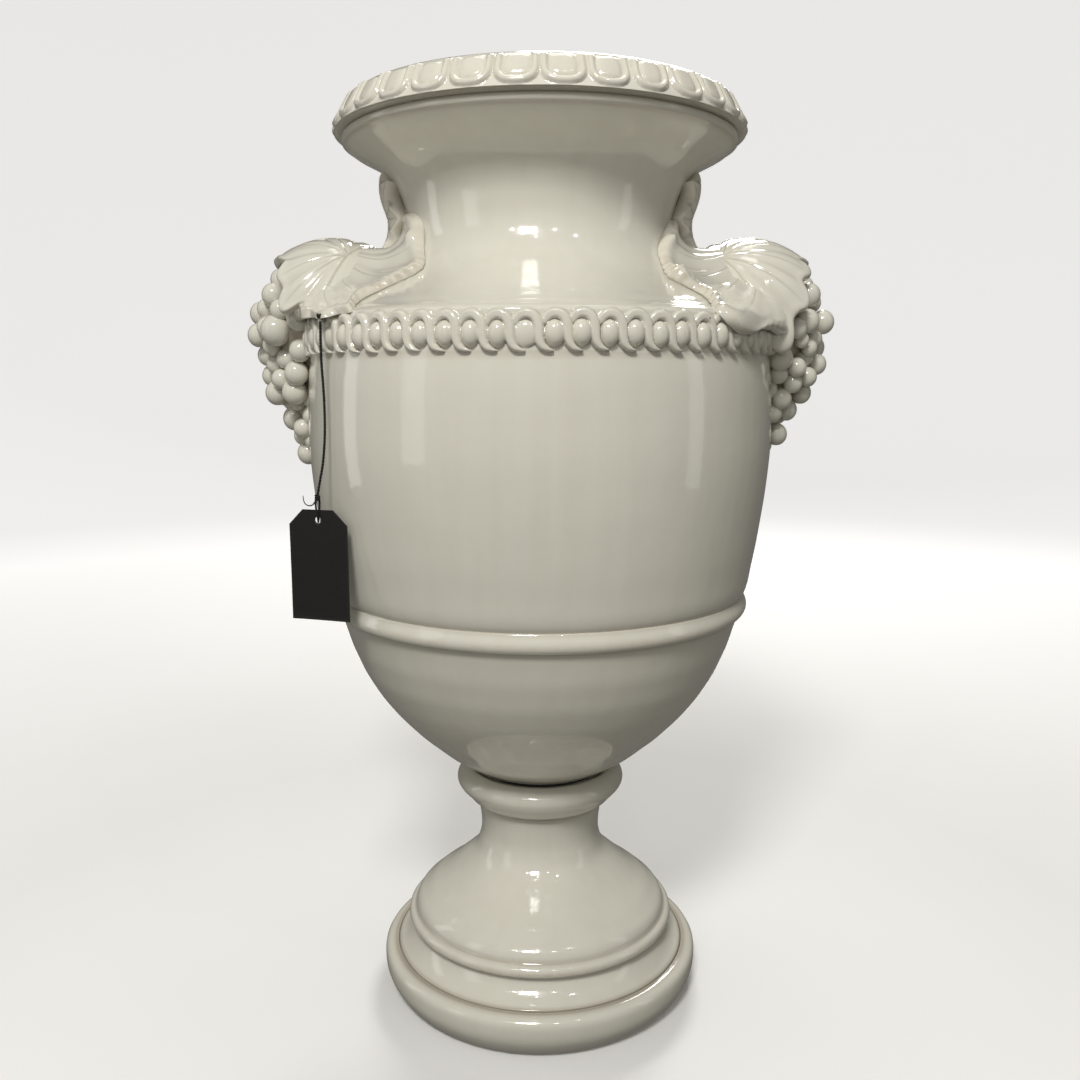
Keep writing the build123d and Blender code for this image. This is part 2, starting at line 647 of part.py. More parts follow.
def tag_cord():
    """Hanging cord, from the round end it swings on, just under the knot, to just above the tag's loop."""
    start = (*CORD_TOP, knot_z() - KNOT_R - CORD_GAP - CORD_R)
    end = (*TAG_AT, LOOP_TOP_Z + CORD_GAP)
    solid, length, radii = tube([start, *CORD_ROUTE, end], CORD_R)
    print(f"cord {length:.1f} mm, radii " + ", ".join(f"{r:.0f}" for r in radii))
    print(f"cord volume {solid.volume:.2f}, section times length {pi * CORD_R ** 2 * length:.2f}")
    along = Vector(*CORD_ROUTE[0]) - Vector(*start)
    half_ball = Sphere(CORD_R, arc_size2=0, align=(Align.CENTER, Align.CENTER, Align.MAX))
    return solid + Plane(start, z_dir=along) * half_ball


def tag_loop():
    """Loop of cord through the tag's hole and over its top edge, gathered in a knot under the cord."""
    out = TAG_T / 2 + CORD_GAP + LOOP_R
    hole_y = TAG_HOLE_R - LOOP_R - THREAD_PLAY
    knot_y = LOOP_TOP_Z - TAG_HOLE_Z - LOOP_KNOT_R
    corner_y = TAG_HOLE_DROP + LOOP_R
    route = [(0, knot_y, LOOP_R), (0, corner_y, out), (0, hole_y, out), (0, hole_y, -out),
             (0, corner_y, -out), (0, knot_y, -LOOP_R)]
    loop, _, _ = tube(route, LOOP_R)
    knot = Pos(0, knot_y, 0) * Sphere(LOOP_KNOT_R)
    return tag_plane() * (loop + knot)


def all_nodes():
    """Every node of the vase by name."""
    envelope = body_envelope()
    wall = leaf_wall()
    ground = rim()
    hood = hood_leaf(wall)
    leaf = shoulder_leaf(envelope, wall)
    stand = neck_leaf(envelope, wall)
    return {
        "base_ring": base_ring(),
        "pedestal": pedestal(),
        "foot_collar": foot_collar(),
        "bowl": bowl(),
        "girth_rib": girth_rib(),
        "drum": drum(),
        "shoulder_neck": shoulder_neck(),
        "rim": ground,
        "rim_shields": Compound(rim_shields(ground)),
        "rim_eggs": Compound(rim_eggs(ground)),
        "shoulder_beads": Compound(shoulder_beads(envelope)),
        "shoulder_straps": Compound(shoulder_straps(envelope)),
        "tie_rod": tie_rod(),
        "seat_gasket": disc_ring(GASKET_HOLE_R, BOWL_FOOT_R - SEAT_PLAY, SEAT_Z, GASKET_T),
        "bowl_seal": disc_ring(ROD_R + THREAD_PLAY, WASHER_R, FLOOR_Z, SEAL_T),
        "bowl_washer": disc_ring(ROD_R + THREAD_PLAY, WASHER_R, FLOOR_Z + SEAL_T, WASHER_T),
        "bowl_nut": nut(FLOOR_Z + SEAL_T + WASHER_T),
        "foot_washer": disc_ring(ROD_R + THREAD_PLAY, WASHER_R, ROOF_Z - WASHER_T, WASHER_T),
        "foot_nut": wing_nut(ROOF_Z - WASHER_T),
        "swing_tag": swing_tag(),
        "tag_loop": tag_loop(),
        "tag_cord": tag_cord(),
        "cord_knot": cord_knot(),
        "right_hood_leaf": hood,
        "right_shoulder_leaf": leaf,
        "right_neck_leaf": stand,
        "right_grape_bunch": grape_bunch(RIGHT_GRAPES, wall),
        "left_hood_leaf": mirror(hood, Plane.YZ),
        "left_shoulder_leaf": mirror(leaf, Plane.YZ),
        "left_neck_leaf": mirror(stand, Plane.YZ),
        "left_grape_bunch": mirror(grape_bunch(LEFT_GRAPES, wall), Plane.YZ),
    }


os.makedirs("parts", exist_ok=True)
for name, node in all_nodes().items():
    export_step(node, f"parts/{name}.step")
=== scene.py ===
import math

import bpy
import numpy as np
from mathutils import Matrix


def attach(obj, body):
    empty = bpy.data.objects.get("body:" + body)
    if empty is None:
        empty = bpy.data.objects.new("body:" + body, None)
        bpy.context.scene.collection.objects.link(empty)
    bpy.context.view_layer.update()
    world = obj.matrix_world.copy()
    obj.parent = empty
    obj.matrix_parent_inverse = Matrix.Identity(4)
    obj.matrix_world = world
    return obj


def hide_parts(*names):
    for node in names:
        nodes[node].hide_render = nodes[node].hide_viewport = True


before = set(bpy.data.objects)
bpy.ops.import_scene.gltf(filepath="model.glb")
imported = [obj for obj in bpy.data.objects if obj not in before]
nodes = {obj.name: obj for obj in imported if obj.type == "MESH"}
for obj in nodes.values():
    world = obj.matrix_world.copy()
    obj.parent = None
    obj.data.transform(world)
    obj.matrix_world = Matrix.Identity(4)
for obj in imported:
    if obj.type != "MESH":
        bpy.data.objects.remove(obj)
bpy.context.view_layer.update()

# Lengths are millimetres, but metres for the cord's route, the floor, the lamps and the camera.
MM = 0.001
TURN = 2 * math.pi
rng = np.random.default_rng(17)

# Levels and radii of the urn, and the wobble of its thrown wall
NECK_Z = 605.0
BAND_R = 199.5
DOME_R = 71.0
DOME_AT = (180.0, 0.0, 615.0)
BORE_R = 20.0
TURNED_SPOKES = 256
WOBBLE = 0.25
WOBBLE_DRIFT_Z = 90.0


# Finishes

class Value:
    """One socket of a finish. Sums, differences and products, from either side, add Math nodes."""

    def __init__(self, recipe, socket):
        self.recipe = recipe
        self.socket = socket

    def maths(self, operation, first, second, clamp=False):
        settings = {"operation": operation, "use_clamp": clamp}
        return self.recipe.node("ShaderNodeMath", settings, {0: first, 1: second})

    def __add__(self, other):
        return self.maths("ADD", self, other)

    def __radd__(self, other):
        return self.maths("ADD", other, self)

    def __sub__(self, other):
        return self.maths("SUBTRACT", self, other)

    def __rsub__(self, other):
        return self.maths("SUBTRACT", other, self)

    def __mul__(self, other):
        return self.maths("MULTIPLY", self, other)

    def __rmul__(self, other):
        return self.maths("MULTIPLY", other, self)

    def above(self, edge):
        return self.maths("GREATER_THAN", self, edge)

    def below(self, edge):
        return self.maths("LESS_THAN", self, edge)

    def kept(self):
        """The value held between 0 and 1."""
        return self.maths("ADD", self, 0.0, clamp=True)


class Recipe:
    """One procedural finish: a principled shader and the nodes that feed it."""

    def __init__(self, name, **constants):
        self.material = bpy.data.materials.new(name)
        self.material.use_nodes = True
        self.tree = self.material.node_tree
        self.shader = self.tree.nodes["Principled BSDF"]
        for key, value in constants.items():
            self.shader.inputs[key.replace("_", " ")].default_value = value

    def put(self, socket, value):
        if isinstance(value, Value):
            self.tree.links.new(value.socket, socket)
        else:
            socket.default_value = value

    def node(self, kind, settings=None, inputs=None, out=0):
        """Adds a node: its settings first, then the values or links of its sockets."""
        node = self.tree.nodes.new(kind)
        for key, value in (settings or {}).items():
            setattr(node, key, value)
        for key, value in (inputs or {}).items():
            self.put(node.inputs[key], value)
        return Value(self, node.outputs[out])

    def feed(self, **values):
        for key, value in values.items():
            self.put(self.shader.inputs[key.replace("_", " ")], value)

    def place(self):
        return self.node("ShaderNodeTexCoord", out="Object")

    def stretched(self, scale):
        return self.node("ShaderNodeMapping", None, {"Vector": self.place(), "Scale": scale})

    def noise(self, vector, scale, detail=3.0, roughness=0.5):
        return self.node("ShaderNodeTexNoise", None,
                         {"Vector": vector, "Scale": scale, "Detail": detail, "Roughness": roughness})

    def blend(self, amount, first, second):
        return self.node("ShaderNodeMix", {"data_type": "RGBA"}, {0: amount, 6: first, 7: second}, out=2)

    def shade(self, name):
        return self.node("ShaderNodeAttribute", {"attribute_name": name}, out="Fac")

    def bump(self, height, strength, distance):
        return self.node("ShaderNodeBump", None,
                         {"Height": height, "Strength": strength, "Distance": distance})


WARM_CREAM = (0.735, 0.71, 0.62, 1)
GREY_CREAM = (0.67, 0.66, 0.585, 1)
STREAK_CREAM = (0.62, 0.595, 0.50, 1)
THIN_TAN = (0.53, 0.40, 0.26, 1)
# Brown of pooled glaze, also painted as shade in recesses, under the rim and between parts
POOL_AND_SHADE_BROWN = (0.24, 0.185, 0.12, 1)
PINHOLE_DARK = (0.09, 0.07, 0.05, 1)
PINHOLE_CELLS = 24.0
PINHOLE_R = 0.022


def glaze_finish():
    """Cream tin glaze: a warm and a greyer cream drift into each other, faint streaks run down the wall,
    the colour turns brown where glaze pools in a recess, the same brown is painted as shade in recesses,
    under the rim and between parts, it turns tan where the glaze runs thin over an edge, and a few pinholes
    stay open. The gloss is broken by a slow ripple in the coat."""
    r = Recipe("cream_glaze", Roughness=0.1, IOR=1.52, Coat_Roughness=0.03)
    place = r.place()
    drift = r.noise(place, 5.0, 4.0)
    streaks = r.noise(r.stretched((70.0, 70.0, 3.0)), 1.0, 4.0)
    colour = r.blend((drift * 1.6 - 0.3).kept(), WARM_CREAM, GREY_CREAM)
    colour = r.blend((streaks * 2.0 - 0.75).kept() * 0.35, colour, STREAK_CREAM)
    mottle = r.noise(place, 140.0, 3.0)
    colour = r.blend((r.shade("thin") * (mottle * 3.0 - 0.9)).kept() * 0.75, colour, THIN_TAN)
    # Pooled glaze and painted shade: one brown for glaze gathered in recesses and for shade painted there,
    # under the rim and between parts
    pool = r.shade("pool").kept()
    colour = r.blend(pool * 0.75, colour, POOL_AND_SHADE_BROWN)
    cells = r.node("ShaderNodeTexVoronoi", None, {"Vector": place, "Scale": PINHOLE_CELLS})
    draw = Value(r, cells.socket.node.outputs["Color"])
    chosen = r.node("ShaderNodeSeparateColor", None, {"Color": draw}).above(0.86)
    pinhole = cells.below(PINHOLE_R) * chosen
    colour = r.blend(pinhole * 0.8, colour, PINHOLE_DARK)
    ripple = r.noise(place, 22.0, 3.0) * 0.7 + r.noise(place, 90.0, 2.0) * 0.12 + streaks * 0.1
    r.feed(Base_Color=colour, Roughness=r.noise(place, 40.0, 2.0) * 0.12 + 0.05 + pinhole * 0.3,
           Coat_Weight=0.6 - pool * 0.3, Normal=r.bump(ripple, 0.22, 0.004))
    return r.material


def steel_finish():
    """Brushed steel: grey with fine lines turned round the bar and a little dull tarnish."""
    r = Recipe("brushed_steel", Metallic=1.0)
    lines = r.noise(r.stretched((40.0, 40.0, 900.0)), 1.0, 4.0)
    tarnish = r.noise(r.place(), 60.0, 4.0)
    r.feed(Base_Color=r.blend((tarnish * 1.4 - 0.3).kept(), (0.56, 0.56, 0.55, 1), (0.38, 0.36, 0.33, 1)),
           Roughness=lines * 0.25 + 0.22, Normal=r.bump(lines, 0.15, 0.0006))
    return r.material


def rubber_finish():
    """Grey-black rubber with a fine moulded grain and a dusty bloom."""
    r = Recipe("gasket_rubber")
    grain = r.noise(r.place(), 700.0, 2.0)
    bloom = r.noise(r.place(), 45.0, 4.0)
    r.feed(Base_Color=r.blend((bloom * 1.5 - 0.4).kept(), (0.022, 0.022, 0.022, 1), (0.075, 0.072, 0.068, 1)),
           Roughness=grain * 0.2 + 0.62, Normal=r.bump(grain, 0.3, 0.0004))
    return r.material


def card_finish():
    """Black card: coated paper with a faint fibre, a soft sheen and edges rubbed slightly grey."""
    r = Recipe("black_card")
    fibre = r.noise(r.stretched((260.0, 260.0, 620.0)), 1.0, 4.0, 0.6)
    rubbed = (r.shade("thin") * (r.noise(r.place(), 300.0, 3.0) + 0.2)).kept()
    colour = r.blend((fibre * 1.6 - 0.4).kept(), (0.0055, 0.0055, 0.005, 1), (0.010, 0.0095, 0.0085, 1))
    r.feed(Base_Color=r.blend(rubbed * 0.5, colour, (0.07, 0.066, 0.06, 1)),
           Roughness=fibre * 0.2 + 0.42, Normal=r.bump(fibre, 0.12, 0.0004))
    return r.material


def cord_finish():
    """Black twisted cord: waxed fibre, a little paler along some fibres."""
    r = Recipe("black_cord")
    fibre = r.noise(r.stretched((900.0, 900.0, 300.0)), 1.0, 3.0)
    r.feed(Base_Color=r.blend(fibre, (0.003, 0.003, 0.003, 1), (0.010, 0.0095, 0.009, 1)),
           Roughness=fibre * 0.25 + 0.6, Normal=r.bump(fibre, 0.4, 0.0003))
    return r.material


def floor_finish():
    """Pale matt floor sweeping up into the backdrop: a barely visible unevenness, and a glow that grows
    with the distance from the urn, where less of the lamps' light falls."""
    r = Recipe("pale_floor", Emission_Strength=0.6)
    patch = r.noise(r.place(), 2.0, 3.0)
    reach = r.node("ShaderNodeVectorMath", {"operation": "LENGTH"}, {0: r.place()}, out="Value")
    r.feed(Base_Color=r.blend(patch, (0.86, 0.86, 0.855, 1), (0.89, 0.89, 0.885, 1)),
           Roughness=patch * 0.1 + 0.6,
           Emission_Color=r.blend((reach * 0.5 - 0.3).kept(), (0.02, 0.02, 0.02, 1), (1, 1, 1, 1)))
    return r.material


GLAZE = glaze_finish()
STEEL = steel_finish()
RUBBER = rubber_finish()
CARD = card_finish()
CORD = cord_finish()


# Surfaces

def quads(rows, cols, wrap_rows=False):
    """The faces of a grid of points, each between two neighbours in a row and the two in the next row."""
    i, j = np.meshgrid(np.arange(rows - (not wrap_rows)), np.arange(cols), indexing="ij")
    k, m = (i + 1) % rows, (j + 1) % cols
    return np.stack([i * cols + j, i * cols + m, k * cols + m, k * cols + j], -1).reshape(-1, 4)


def capped(rings, first, last):
    """Points and faces of a row of rings, (count, spokes, 3), closed by a point at each end: quads between
    the rings and triangles at the ends."""
    count, spokes = rings.shape[:2]
    points = np.concatenate([rings.reshape(-1, 3), [first, last]])
    here = np.arange(spokes)
    after = (here + 1) % spokes
    head = np.stack([np.full(spokes, count * spokes), after, here], -1)
    base = (count - 1) * spokes
    tail = np.stack([np.full(spokes, count * spokes + 1), base + here, base + after], -1)
    return points, quads(count, spokes).tolist() + head.tolist() + tail.tolist()


def joined(parts):
    """Several shells in one mesh: their points in turn, and their faces counted on from those before."""
    points = np.concatenate([p for p, _ in parts])
    before = np.cumsum([0] + [len(p) for p, _ in parts[:-1]])
    faces = [[i + int(start) for i in face] for (_, own), start in zip(parts, before) for face in own]
    return points, faces


def outward(points, faces):
    """The faces, all turned round where the shell is inside out: the triple products of each face's corners
    add up to six times the volume, which is negative then."""
    corners = np.array([face if len(face) == 4 else face + face[2:] for face in faces])
    a, b, c, d = (points[corners[:, k]] for k in range(4))
    volume = np.sum(a * (np.cross(b, c) + np.cross(c, d)))
    return faces if volume > 0 else [face[::-1] for face in faces]


def piece(name, points, faces, finish, body, slot, stands_for, **shades):
    """A smooth mesh object from points (millimetres) and faces, with named shades of 0 to 1 at its points."""
    mesh = bpy.data.meshes.new(name)
    points = np.asarray(points).reshape(-1, 3)
    faces = outward(points, faces if isinstance(faces, list) else faces.tolist())
    mesh.from_pydata((points * MM).tolist(), [], faces)
    mesh.shade_smooth()
    for key, values in shades.items():
        layer = mesh.attributes.new(key, "FLOAT", "POINT")
        layer.data.foreach_set("value", np.ascontiguousarray(values, dtype=np.float32).ravel())
    mesh.materials.append(finish)
    made = bpy.data.objects.new(name, mesh)
    bpy.context.scene.collection.objects.link(made)
    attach(made, body)
    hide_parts(*stands_for)
    return made


def glazed(name, points, stands_for, pool, thin, faces=None):
    """A piece of glazed ware. Points without faces are rows and columns that both close on themselves."""
    if faces is None:
        faces = quads(*points.shape[:2], wrap_rows=True)
    piece(name, points, faces, GLAZE, "urn", "glaze", stands_for, pool=pool, thin=thin)


def lengths(line):
    """The length along a line of points, up to each of them."""
    return np.concatenate([[0.0], np.cumsum(np.linalg.norm(np.diff(line, axis=0), axis=1))])


def unit_length(lines):
    """Directions made one long."""
    return lines / np.linalg.norm(lines, axis=-1, keepdims=True)


def spline(knots, step=None, count=None, closed=False):
    """Points along a natural cubic through the knots, by chord length: second derivatives from one linear
    solve. A closed one runs on past its own start, so that the join is as smooth as the rest."""
    knots = np.asarray(knots, float)
    lap = len(knots)
    if closed:
        knots = np.concatenate([knots[-4:], knots, knots[:5]])
    chord = lengths(knots)
    gap = np.diff(chord)
    size = len(knots)
    system = np.eye(size)
    rise = np.zeros_like(knots)
    inner = np.arange(1, size - 1)
    system[inner, inner - 1] = gap[:-1]
    system[inner, inner] = 2 * (gap[:-1] + gap[1:])
    system[inner, inner + 1] = gap[1:]
    slope = np.diff(knots, axis=0) / gap[:, None]
    rise[1:-1] = 6 * np.diff(slope, axis=0)
    bend = np.linalg.solve(system, rise)
    start, end = (chord[4], chord[4 + lap]) if closed else (0.0, chord[-1])
    count = count or max(2, int(round((end - start) / step)) + 1)
    at = np.linspace(start, end, count, endpoint=not closed)
    k = np.clip(np.searchsorted(chord, at, side="right") - 1, 0, size - 2)
    h = gap[k][:, None]
    a = (chord[k + 1] - at)[:, None]
    b = (at - chord[k])[:, None]
    return (bend[k] * a ** 3 + bend[k + 1] * b ** 3) / (6 * h) \
        + (knots[k] / h - bend[k] * h / 6) * a + (knots[k + 1] / h - bend[k + 1] * h / 6) * b


def loop_of(*runs, step=3.0):
    """A profile from runs of knots. Each run is a smooth curve that carries on, round a corner, from the end
    of the one before, and a closed profile ends where it starts."""
    starts = [[]] + [[run[-1]] for run in runs[:-1]]
    return np.concatenate([spline(start + run, step=step)[1:] for start, run in zip(starts, runs)])


def around(radius, angle, height):
    """Points at a radius and an angle about the upright axis, at a height."""
    return np.stack(np.broadcast_arrays(radius * np.cos(angle), radius * np.sin(angle), height), -1)


def swept_round(profile):
    """A profile of (radius, height) carried once round the upright axis. A slow hand-thrown wobble of the
    radius, two and three waves to a turn that drift with height, keeps the wall from being a perfect
    circle. The bore has none."""
    angle = np.arange(TURNED_SPOKES) * TURN / TURNED_SPOKES
    radius = profile[:, 0:1]
    height = profile[:, 1:2]
    drift = height / WOBBLE_DRIFT_Z
    wave = np.sin(2 * angle + drift) + 0.6 * np.sin(3 * angle - 1.7 * drift)
    return around(radius + WOBBLE * wave * (radius > BORE_R), angle, height)


def turned(section, runs, pool_and_shade_at=(), thin_at=(), step=3.0):
    """A turned section of the urn. The spots where glaze gathers, with painted shade there, and thin_at,
    where it runs thin, are (radius, height, reach, amount) places on the profile, each fading as a bell
    curve of the distance from it."""
    profile = loop_of(*runs, step=step)

    def spots(marks):
        total = np.zeros(len(profile))
        for radius, height, reach, amount in marks:
            away = np.hypot(profile[:, 0] - radius, profile[:, 1] - height)
            total = np.maximum(total, amount * np.exp(-(away / reach) ** 2))
        return np.repeat(total[:, None], TURNED_SPOKES, axis=1)

    glazed(section + "_glazed", swept_round(profile), [section], spots(pool_and_shade_at), spots(thin_at))


# The turned sections, each profile up the outside and down the inside

turned("base_ring", [
    [(114.6, 0.5), (118, 0.2), (126, 0.2), (131, 0.4)],
    [(136.8, 1.9), (139.2, 4.3), (144.8, 12.6), (147.4, 18.2), (148.9, 30), (147.6, 36.4),
     (143.5, 39.4), (138.4, 40.3)],
    [(126, 40.4), (114.2, 40.4)],
    [(114, 20), (114.6, 0.5)],
], pool_and_shade_at=[(138, 40.3, 3.0, 0.8)], thin_at=[(133, 0.6, 4, 0.5)])

turned("pedestal", [
    [(114.3, 40.6), (126, 40.6), (136.6, 40.7)],
    [(134.6, 41.6), (131.5, 43.1), (128.4, 45.3), (121.7, 52), (118.6, 58.4), (118.3, 62)],
    [(121.4, 62.6), (124.6, 64.9), (125.4, 67.6), (124.2, 70.9), (121.3, 72.9), (118.6, 73.4)],
    [(118.2, 77), (116.2, 81.6), (110, 87.6), (102.7, 94), (94.7, 99.8), (86.4, 106.4),
     (77, 114.6), (71, 120), (64.7, 126), (59.9, 132.4), (57.3, 139), (55.6, 146), (55.3, 154), (56, 163),
     (57, 170), (57.3, 177.2)],
    [(30, 177.4), (8, 177.4)],
    [(8, 113)],
    [(28, 112.8), (45, 112), (62, 107), (80, 96), (97, 82), (103.6, 72), (106, 58), (112, 45),
     (114.3, 40.6)],
], step=2.4,
    pool_and_shade_at=[(136.4, 41, 2.4, 0.9), (118.3, 61.4, 2.2, 0.55), (118.6, 73.6, 2.2, 0.6),
             (57.3, 176.6, 2.4, 0.5)],
    thin_at=[(125.4, 67.4, 2.2, 0.35)])

turned("foot_collar", [
    [(8, 177.6), (57.6, 177.6)],
    [(60.4, 178.8), (64.9, 181), (68.6, 185.2), (74.3, 191.3), (78, 198.3), (76.6, 204.5),
     (72, 208.6), (66.5, 210.8)],
    [(64, 210.9), (62.4, 210)],
    [(61.4, 208.4), (58, 208.2), (30, 208.2), (8, 208.2)],
    [(8, 177.6)],
], step=1.8, pool_and_shade_at=[(62, 209.4, 3.4, 1.0), (58, 177.8, 2.4, 0.6)])

turned("bowl", [
    [(8, 210), (30, 210), (57, 210.2)],
    [(62, 212.4), (68.7, 216.2), (79.2, 222.8), (89.4, 229.8), (98.4, 237.3), (107.6, 245.4),
     (117.1, 253.9), (125.8, 262.9), (134.5, 272.3), (142.4, 282.1), (149.8, 292.3), (156.3, 302.9),
     (162.4, 313.9), (167.3, 325.3), (172.1, 337), (175.8, 348.9), (179.6, 361), (181.2, 367),
     (181.5, 373.8)],
    [(176, 373.9), (170.7, 373.8)],
    [(168.6, 361), (161, 337.5), (150, 314), (136, 292), (117, 270.5), (90, 247), (62, 230),
     (40, 226.2), (8, 226)],
    [(8, 210)],
], pool_and_shade_at=[(58, 210.6, 4, 0.9), (181, 366, 3.0, 0.5)])

turned("girth_rib", [
    [(181.2, 366), (183.2, 365.9), (185.7, 367.6), (187.5, 371.6), (187.1, 375.6), (185.7, 379.2),
     (184.7, 382.2)],
    [(183, 382.6), (181.2, 382.4)],
    [(181, 374), (181.2, 366)],
], step=1.2, pool_and_shade_at=[(184.6, 382.4, 2.0, 0.35), (182.6, 366, 1.8, 0.5)],
    thin_at=[(187.4, 372, 2.2, 0.25)])

turned("drum", [
    [(170.7, 374), (181.3, 374)],
    [(181.6, 378), (183.2, 381.4), (184.8, 384), (190, 403.4), (193.8, 425), (197, 446.8),
     (199.9, 468.6), (202.1, 490.5), (203.5, 512.4), (203.6, 534.4), (203, 556.4), (201.4, 578.3),
     (199.9, 592), (199.5, 604.8)],
    [(194, 604.9), (188.5, 604.8)],
    [(191.4, 560), (192.5, 523), (189, 468), (179.4, 403), (173, 384), (170.7, 374)],
], pool_and_shade_at=[(184.2, 383, 3.0, 0.4), (200, 589, 3.0, 0.35)])

turned("shoulder_neck", [
    [(188.5, 605.2), (194, 605.1), (199.5, 605.2)],
    [(199.6, 613), (199.4, 619.4)],
    [(197.5, 621.9), (190, 625.3), (180.3, 629.9), (170.5, 634.7), (160.8, 639.8),
     (151.2, 645.5), (141.8, 651.8), (133.2, 658.9), (125.7, 666.9), (120, 676), (116.4, 686.4),
     (115.1, 697.4), (116.4, 708.5), (118.9, 719.2), (122.8, 729.3), (128.1, 738.5), (135, 745.8),
     (144.3, 751.8), (154.6, 757), (162.6, 761.6), (165.6, 764.2)],
    [(167.8, 765), (168.9, 766.8), (168.8, 769.2), (167.6, 770.8)],
    [(162, 770.9), (157.5, 770.9)],
    [(153, 768), (141, 761.6), (129, 754.4), (118, 744.6), (110.6, 731), (106, 714),
     (104, 697), (107, 681), (114, 667), (126, 653.4), (144, 639.6), (164, 627.6), (182, 617.4), (187.6, 611),
     (188.5, 605.2)],
], pool_and_shade_at=[(168, 770.6, 2.0, 0.7), (165.4, 764, 1.6, 0.5), (199.4, 619.8, 2.6, 0.6)])


# Rim: eggs in rolled shields

RIM_UNITS = 32
RIM_SPOKES = 36 * RIM_UNITS
RIM_PITCH = 33.3
RIM_FOOT = np.array([175.0, 772.9])
RIM_BROW = np.array([161.6, 797.2])
FASCIA_ROWS = 50
EGG_UP = 17.0
EGG_HALF_W = 10.2
EGG_HALF_H = 10.1
EGG_SQUARE = 3
EGG_OUT = 3.1
SHIELD_UP = 15.5
SHIELD_HALF_W = 13.2
SHIELD_DROP = 11.8
SHIELD_SQUARE = 2.5
SHIELD_GROUND = 1.2
ROLL_HALF_W = 2.95
ROLL_OUT = 3.5


def hollows(height, rows, cols):
    """Where glaze gathers and shade is painted: how far a place lies below the mean of the places a few
    rows and columns away.
    """
    shifts = ((rows, 0), (-rows, 0), (cols, 1), (-cols, 1))
    beside = sum(np.roll(height, shift, axis) for shift, axis in shifts) / len(shifts)
    return np.clip(beside - height, 0, None)


def squared_oval(across, up, half_w, half_h, square):
    """How far out a place lies on a squared-off oval: 0 at its middle and 1 on its line. A higher square
    gives fuller corners."""
    return (np.abs(across / half_w) ** square + np.abs(up / half_h) ** square) ** (1 / square)


def rim_relief(across, up):
    """Height of one egg and shield over the rim's sloping face. The egg is a flat-topped dome on a
    squared-off oval. The shield is a round roll whose middle line comes straight down both sides and turns
    under the egg as half a squared-off oval; the distance to that line, over the roll's half width, gives
    its circular section. The ground inside the shield lies a little proud of the ground between shields."""
    egg = squared_oval(across, up - EGG_UP, EGG_HALF_W, EGG_HALF_H, EGG_SQUARE)
    egg_height = EGG_OUT * np.clip(1 - egg ** 4, 0, None) ** 0.5
    drop = np.minimum(up - SHIELD_UP, 0)
    shield = np.maximum(squared_oval(across, drop, SHIELD_HALF_W, SHIELD_DROP, SHIELD_SQUARE), 1e-6)
    away = np.hypot(across, drop) * (1 - 1 / shield)
    roll = ROLL_OUT * np.clip(1 - (away / ROLL_HALF_W) ** 2, 0, None) ** 0.5
    inside = SHIELD_GROUND * np.clip((1 - shield) * 8, 0, 1)
    return np.maximum(np.maximum(egg_height, roll), inside)


def rim_surface():
    """The rim as one closed ring: rows up the sloping face carry the relief along the face's own normal,
    and the rest follow the rounded crown, the inside of the mouth and the hollow soffit under the face."""
    angle = np.arange(RIM_SPOKES) * TURN / RIM_SPOKES
    unit = np.floor(angle / TURN * RIM_UNITS)
    lean = rng.normal(0.0, 0.45, RIM_UNITS)[unit.astype(int)]
    swell = rng.normal(1.0, 0.035, RIM_UNITS)[unit.astype(int)]
    across = ((angle / TURN * RIM_UNITS) % 1.0 - 0.5) * RIM_PITCH
    share = np.linspace(0, 1, FASCIA_ROWS)[:, None]
    slope = np.linalg.norm(RIM_BROW - RIM_FOOT)
    normal = np.array([RIM_BROW[1] - RIM_FOOT[1], RIM_FOOT[0] - RIM_BROW[0]]) / slope
    up = share * slope
    height = rim_relief((across + lean * (up - 14) / 14) / swell, up + 0.3 * lean)
    height = height * np.clip((slope + 0.2 - up) / 2.8, 0, 1) ** 0.6
    height[0] = 0.0
    # Pooled glaze and painted shade in the hollows between eggs and shields
    pool = np.clip(hollows(height, 2, 1) / 2.0, 0, 0.6)
    pool[:3] = pool[-3:] = 0.0
    face = (RIM_FOOT + share * (RIM_BROW - RIM_FOOT))[:, None, :] + height[..., None] * normal
    rest = loop_of([(161.6, 797.2), (160, 798.9), (157, 799.9), (153.5, 799.8), (150.6, 798.6), (149.4, 796)],
                   [(150.4, 788), (153, 780), (157.4, 771.6)],
                   [(160, 771.1), (168.4, 771.2)],
                   [(169.8, 772.4), (171.6, 773.2), (173.4, 773.3), (175.0, 772.9)],
                   step=2.2)[:-1]
    rest = np.repeat(rest[:, None, :], RIM_SPOKES, axis=1)
    ring = np.concatenate([face, rest])
    points = around(ring[..., 0], angle, ring[..., 1])
    blank = np.zeros(rest.shape[:2])
    # Painted shade on the soffit under the rim's face, in the same brown
    soffit = np.where((rest[..., 1] < 774) & (rest[..., 0] > 167), 0.4, 0.0)
    return points, np.concatenate([pool, soffit]), np.concatenate([height / 30.0, blank])


rim_points, rim_pool_and_shade, rim_thin = rim_surface()
glazed("rim_egg_border", rim_points, ["rim", "rim_shields", "rim_eggs"], rim_pool_and_shade, rim_thin)


# Shoulder band: beads under curled straps

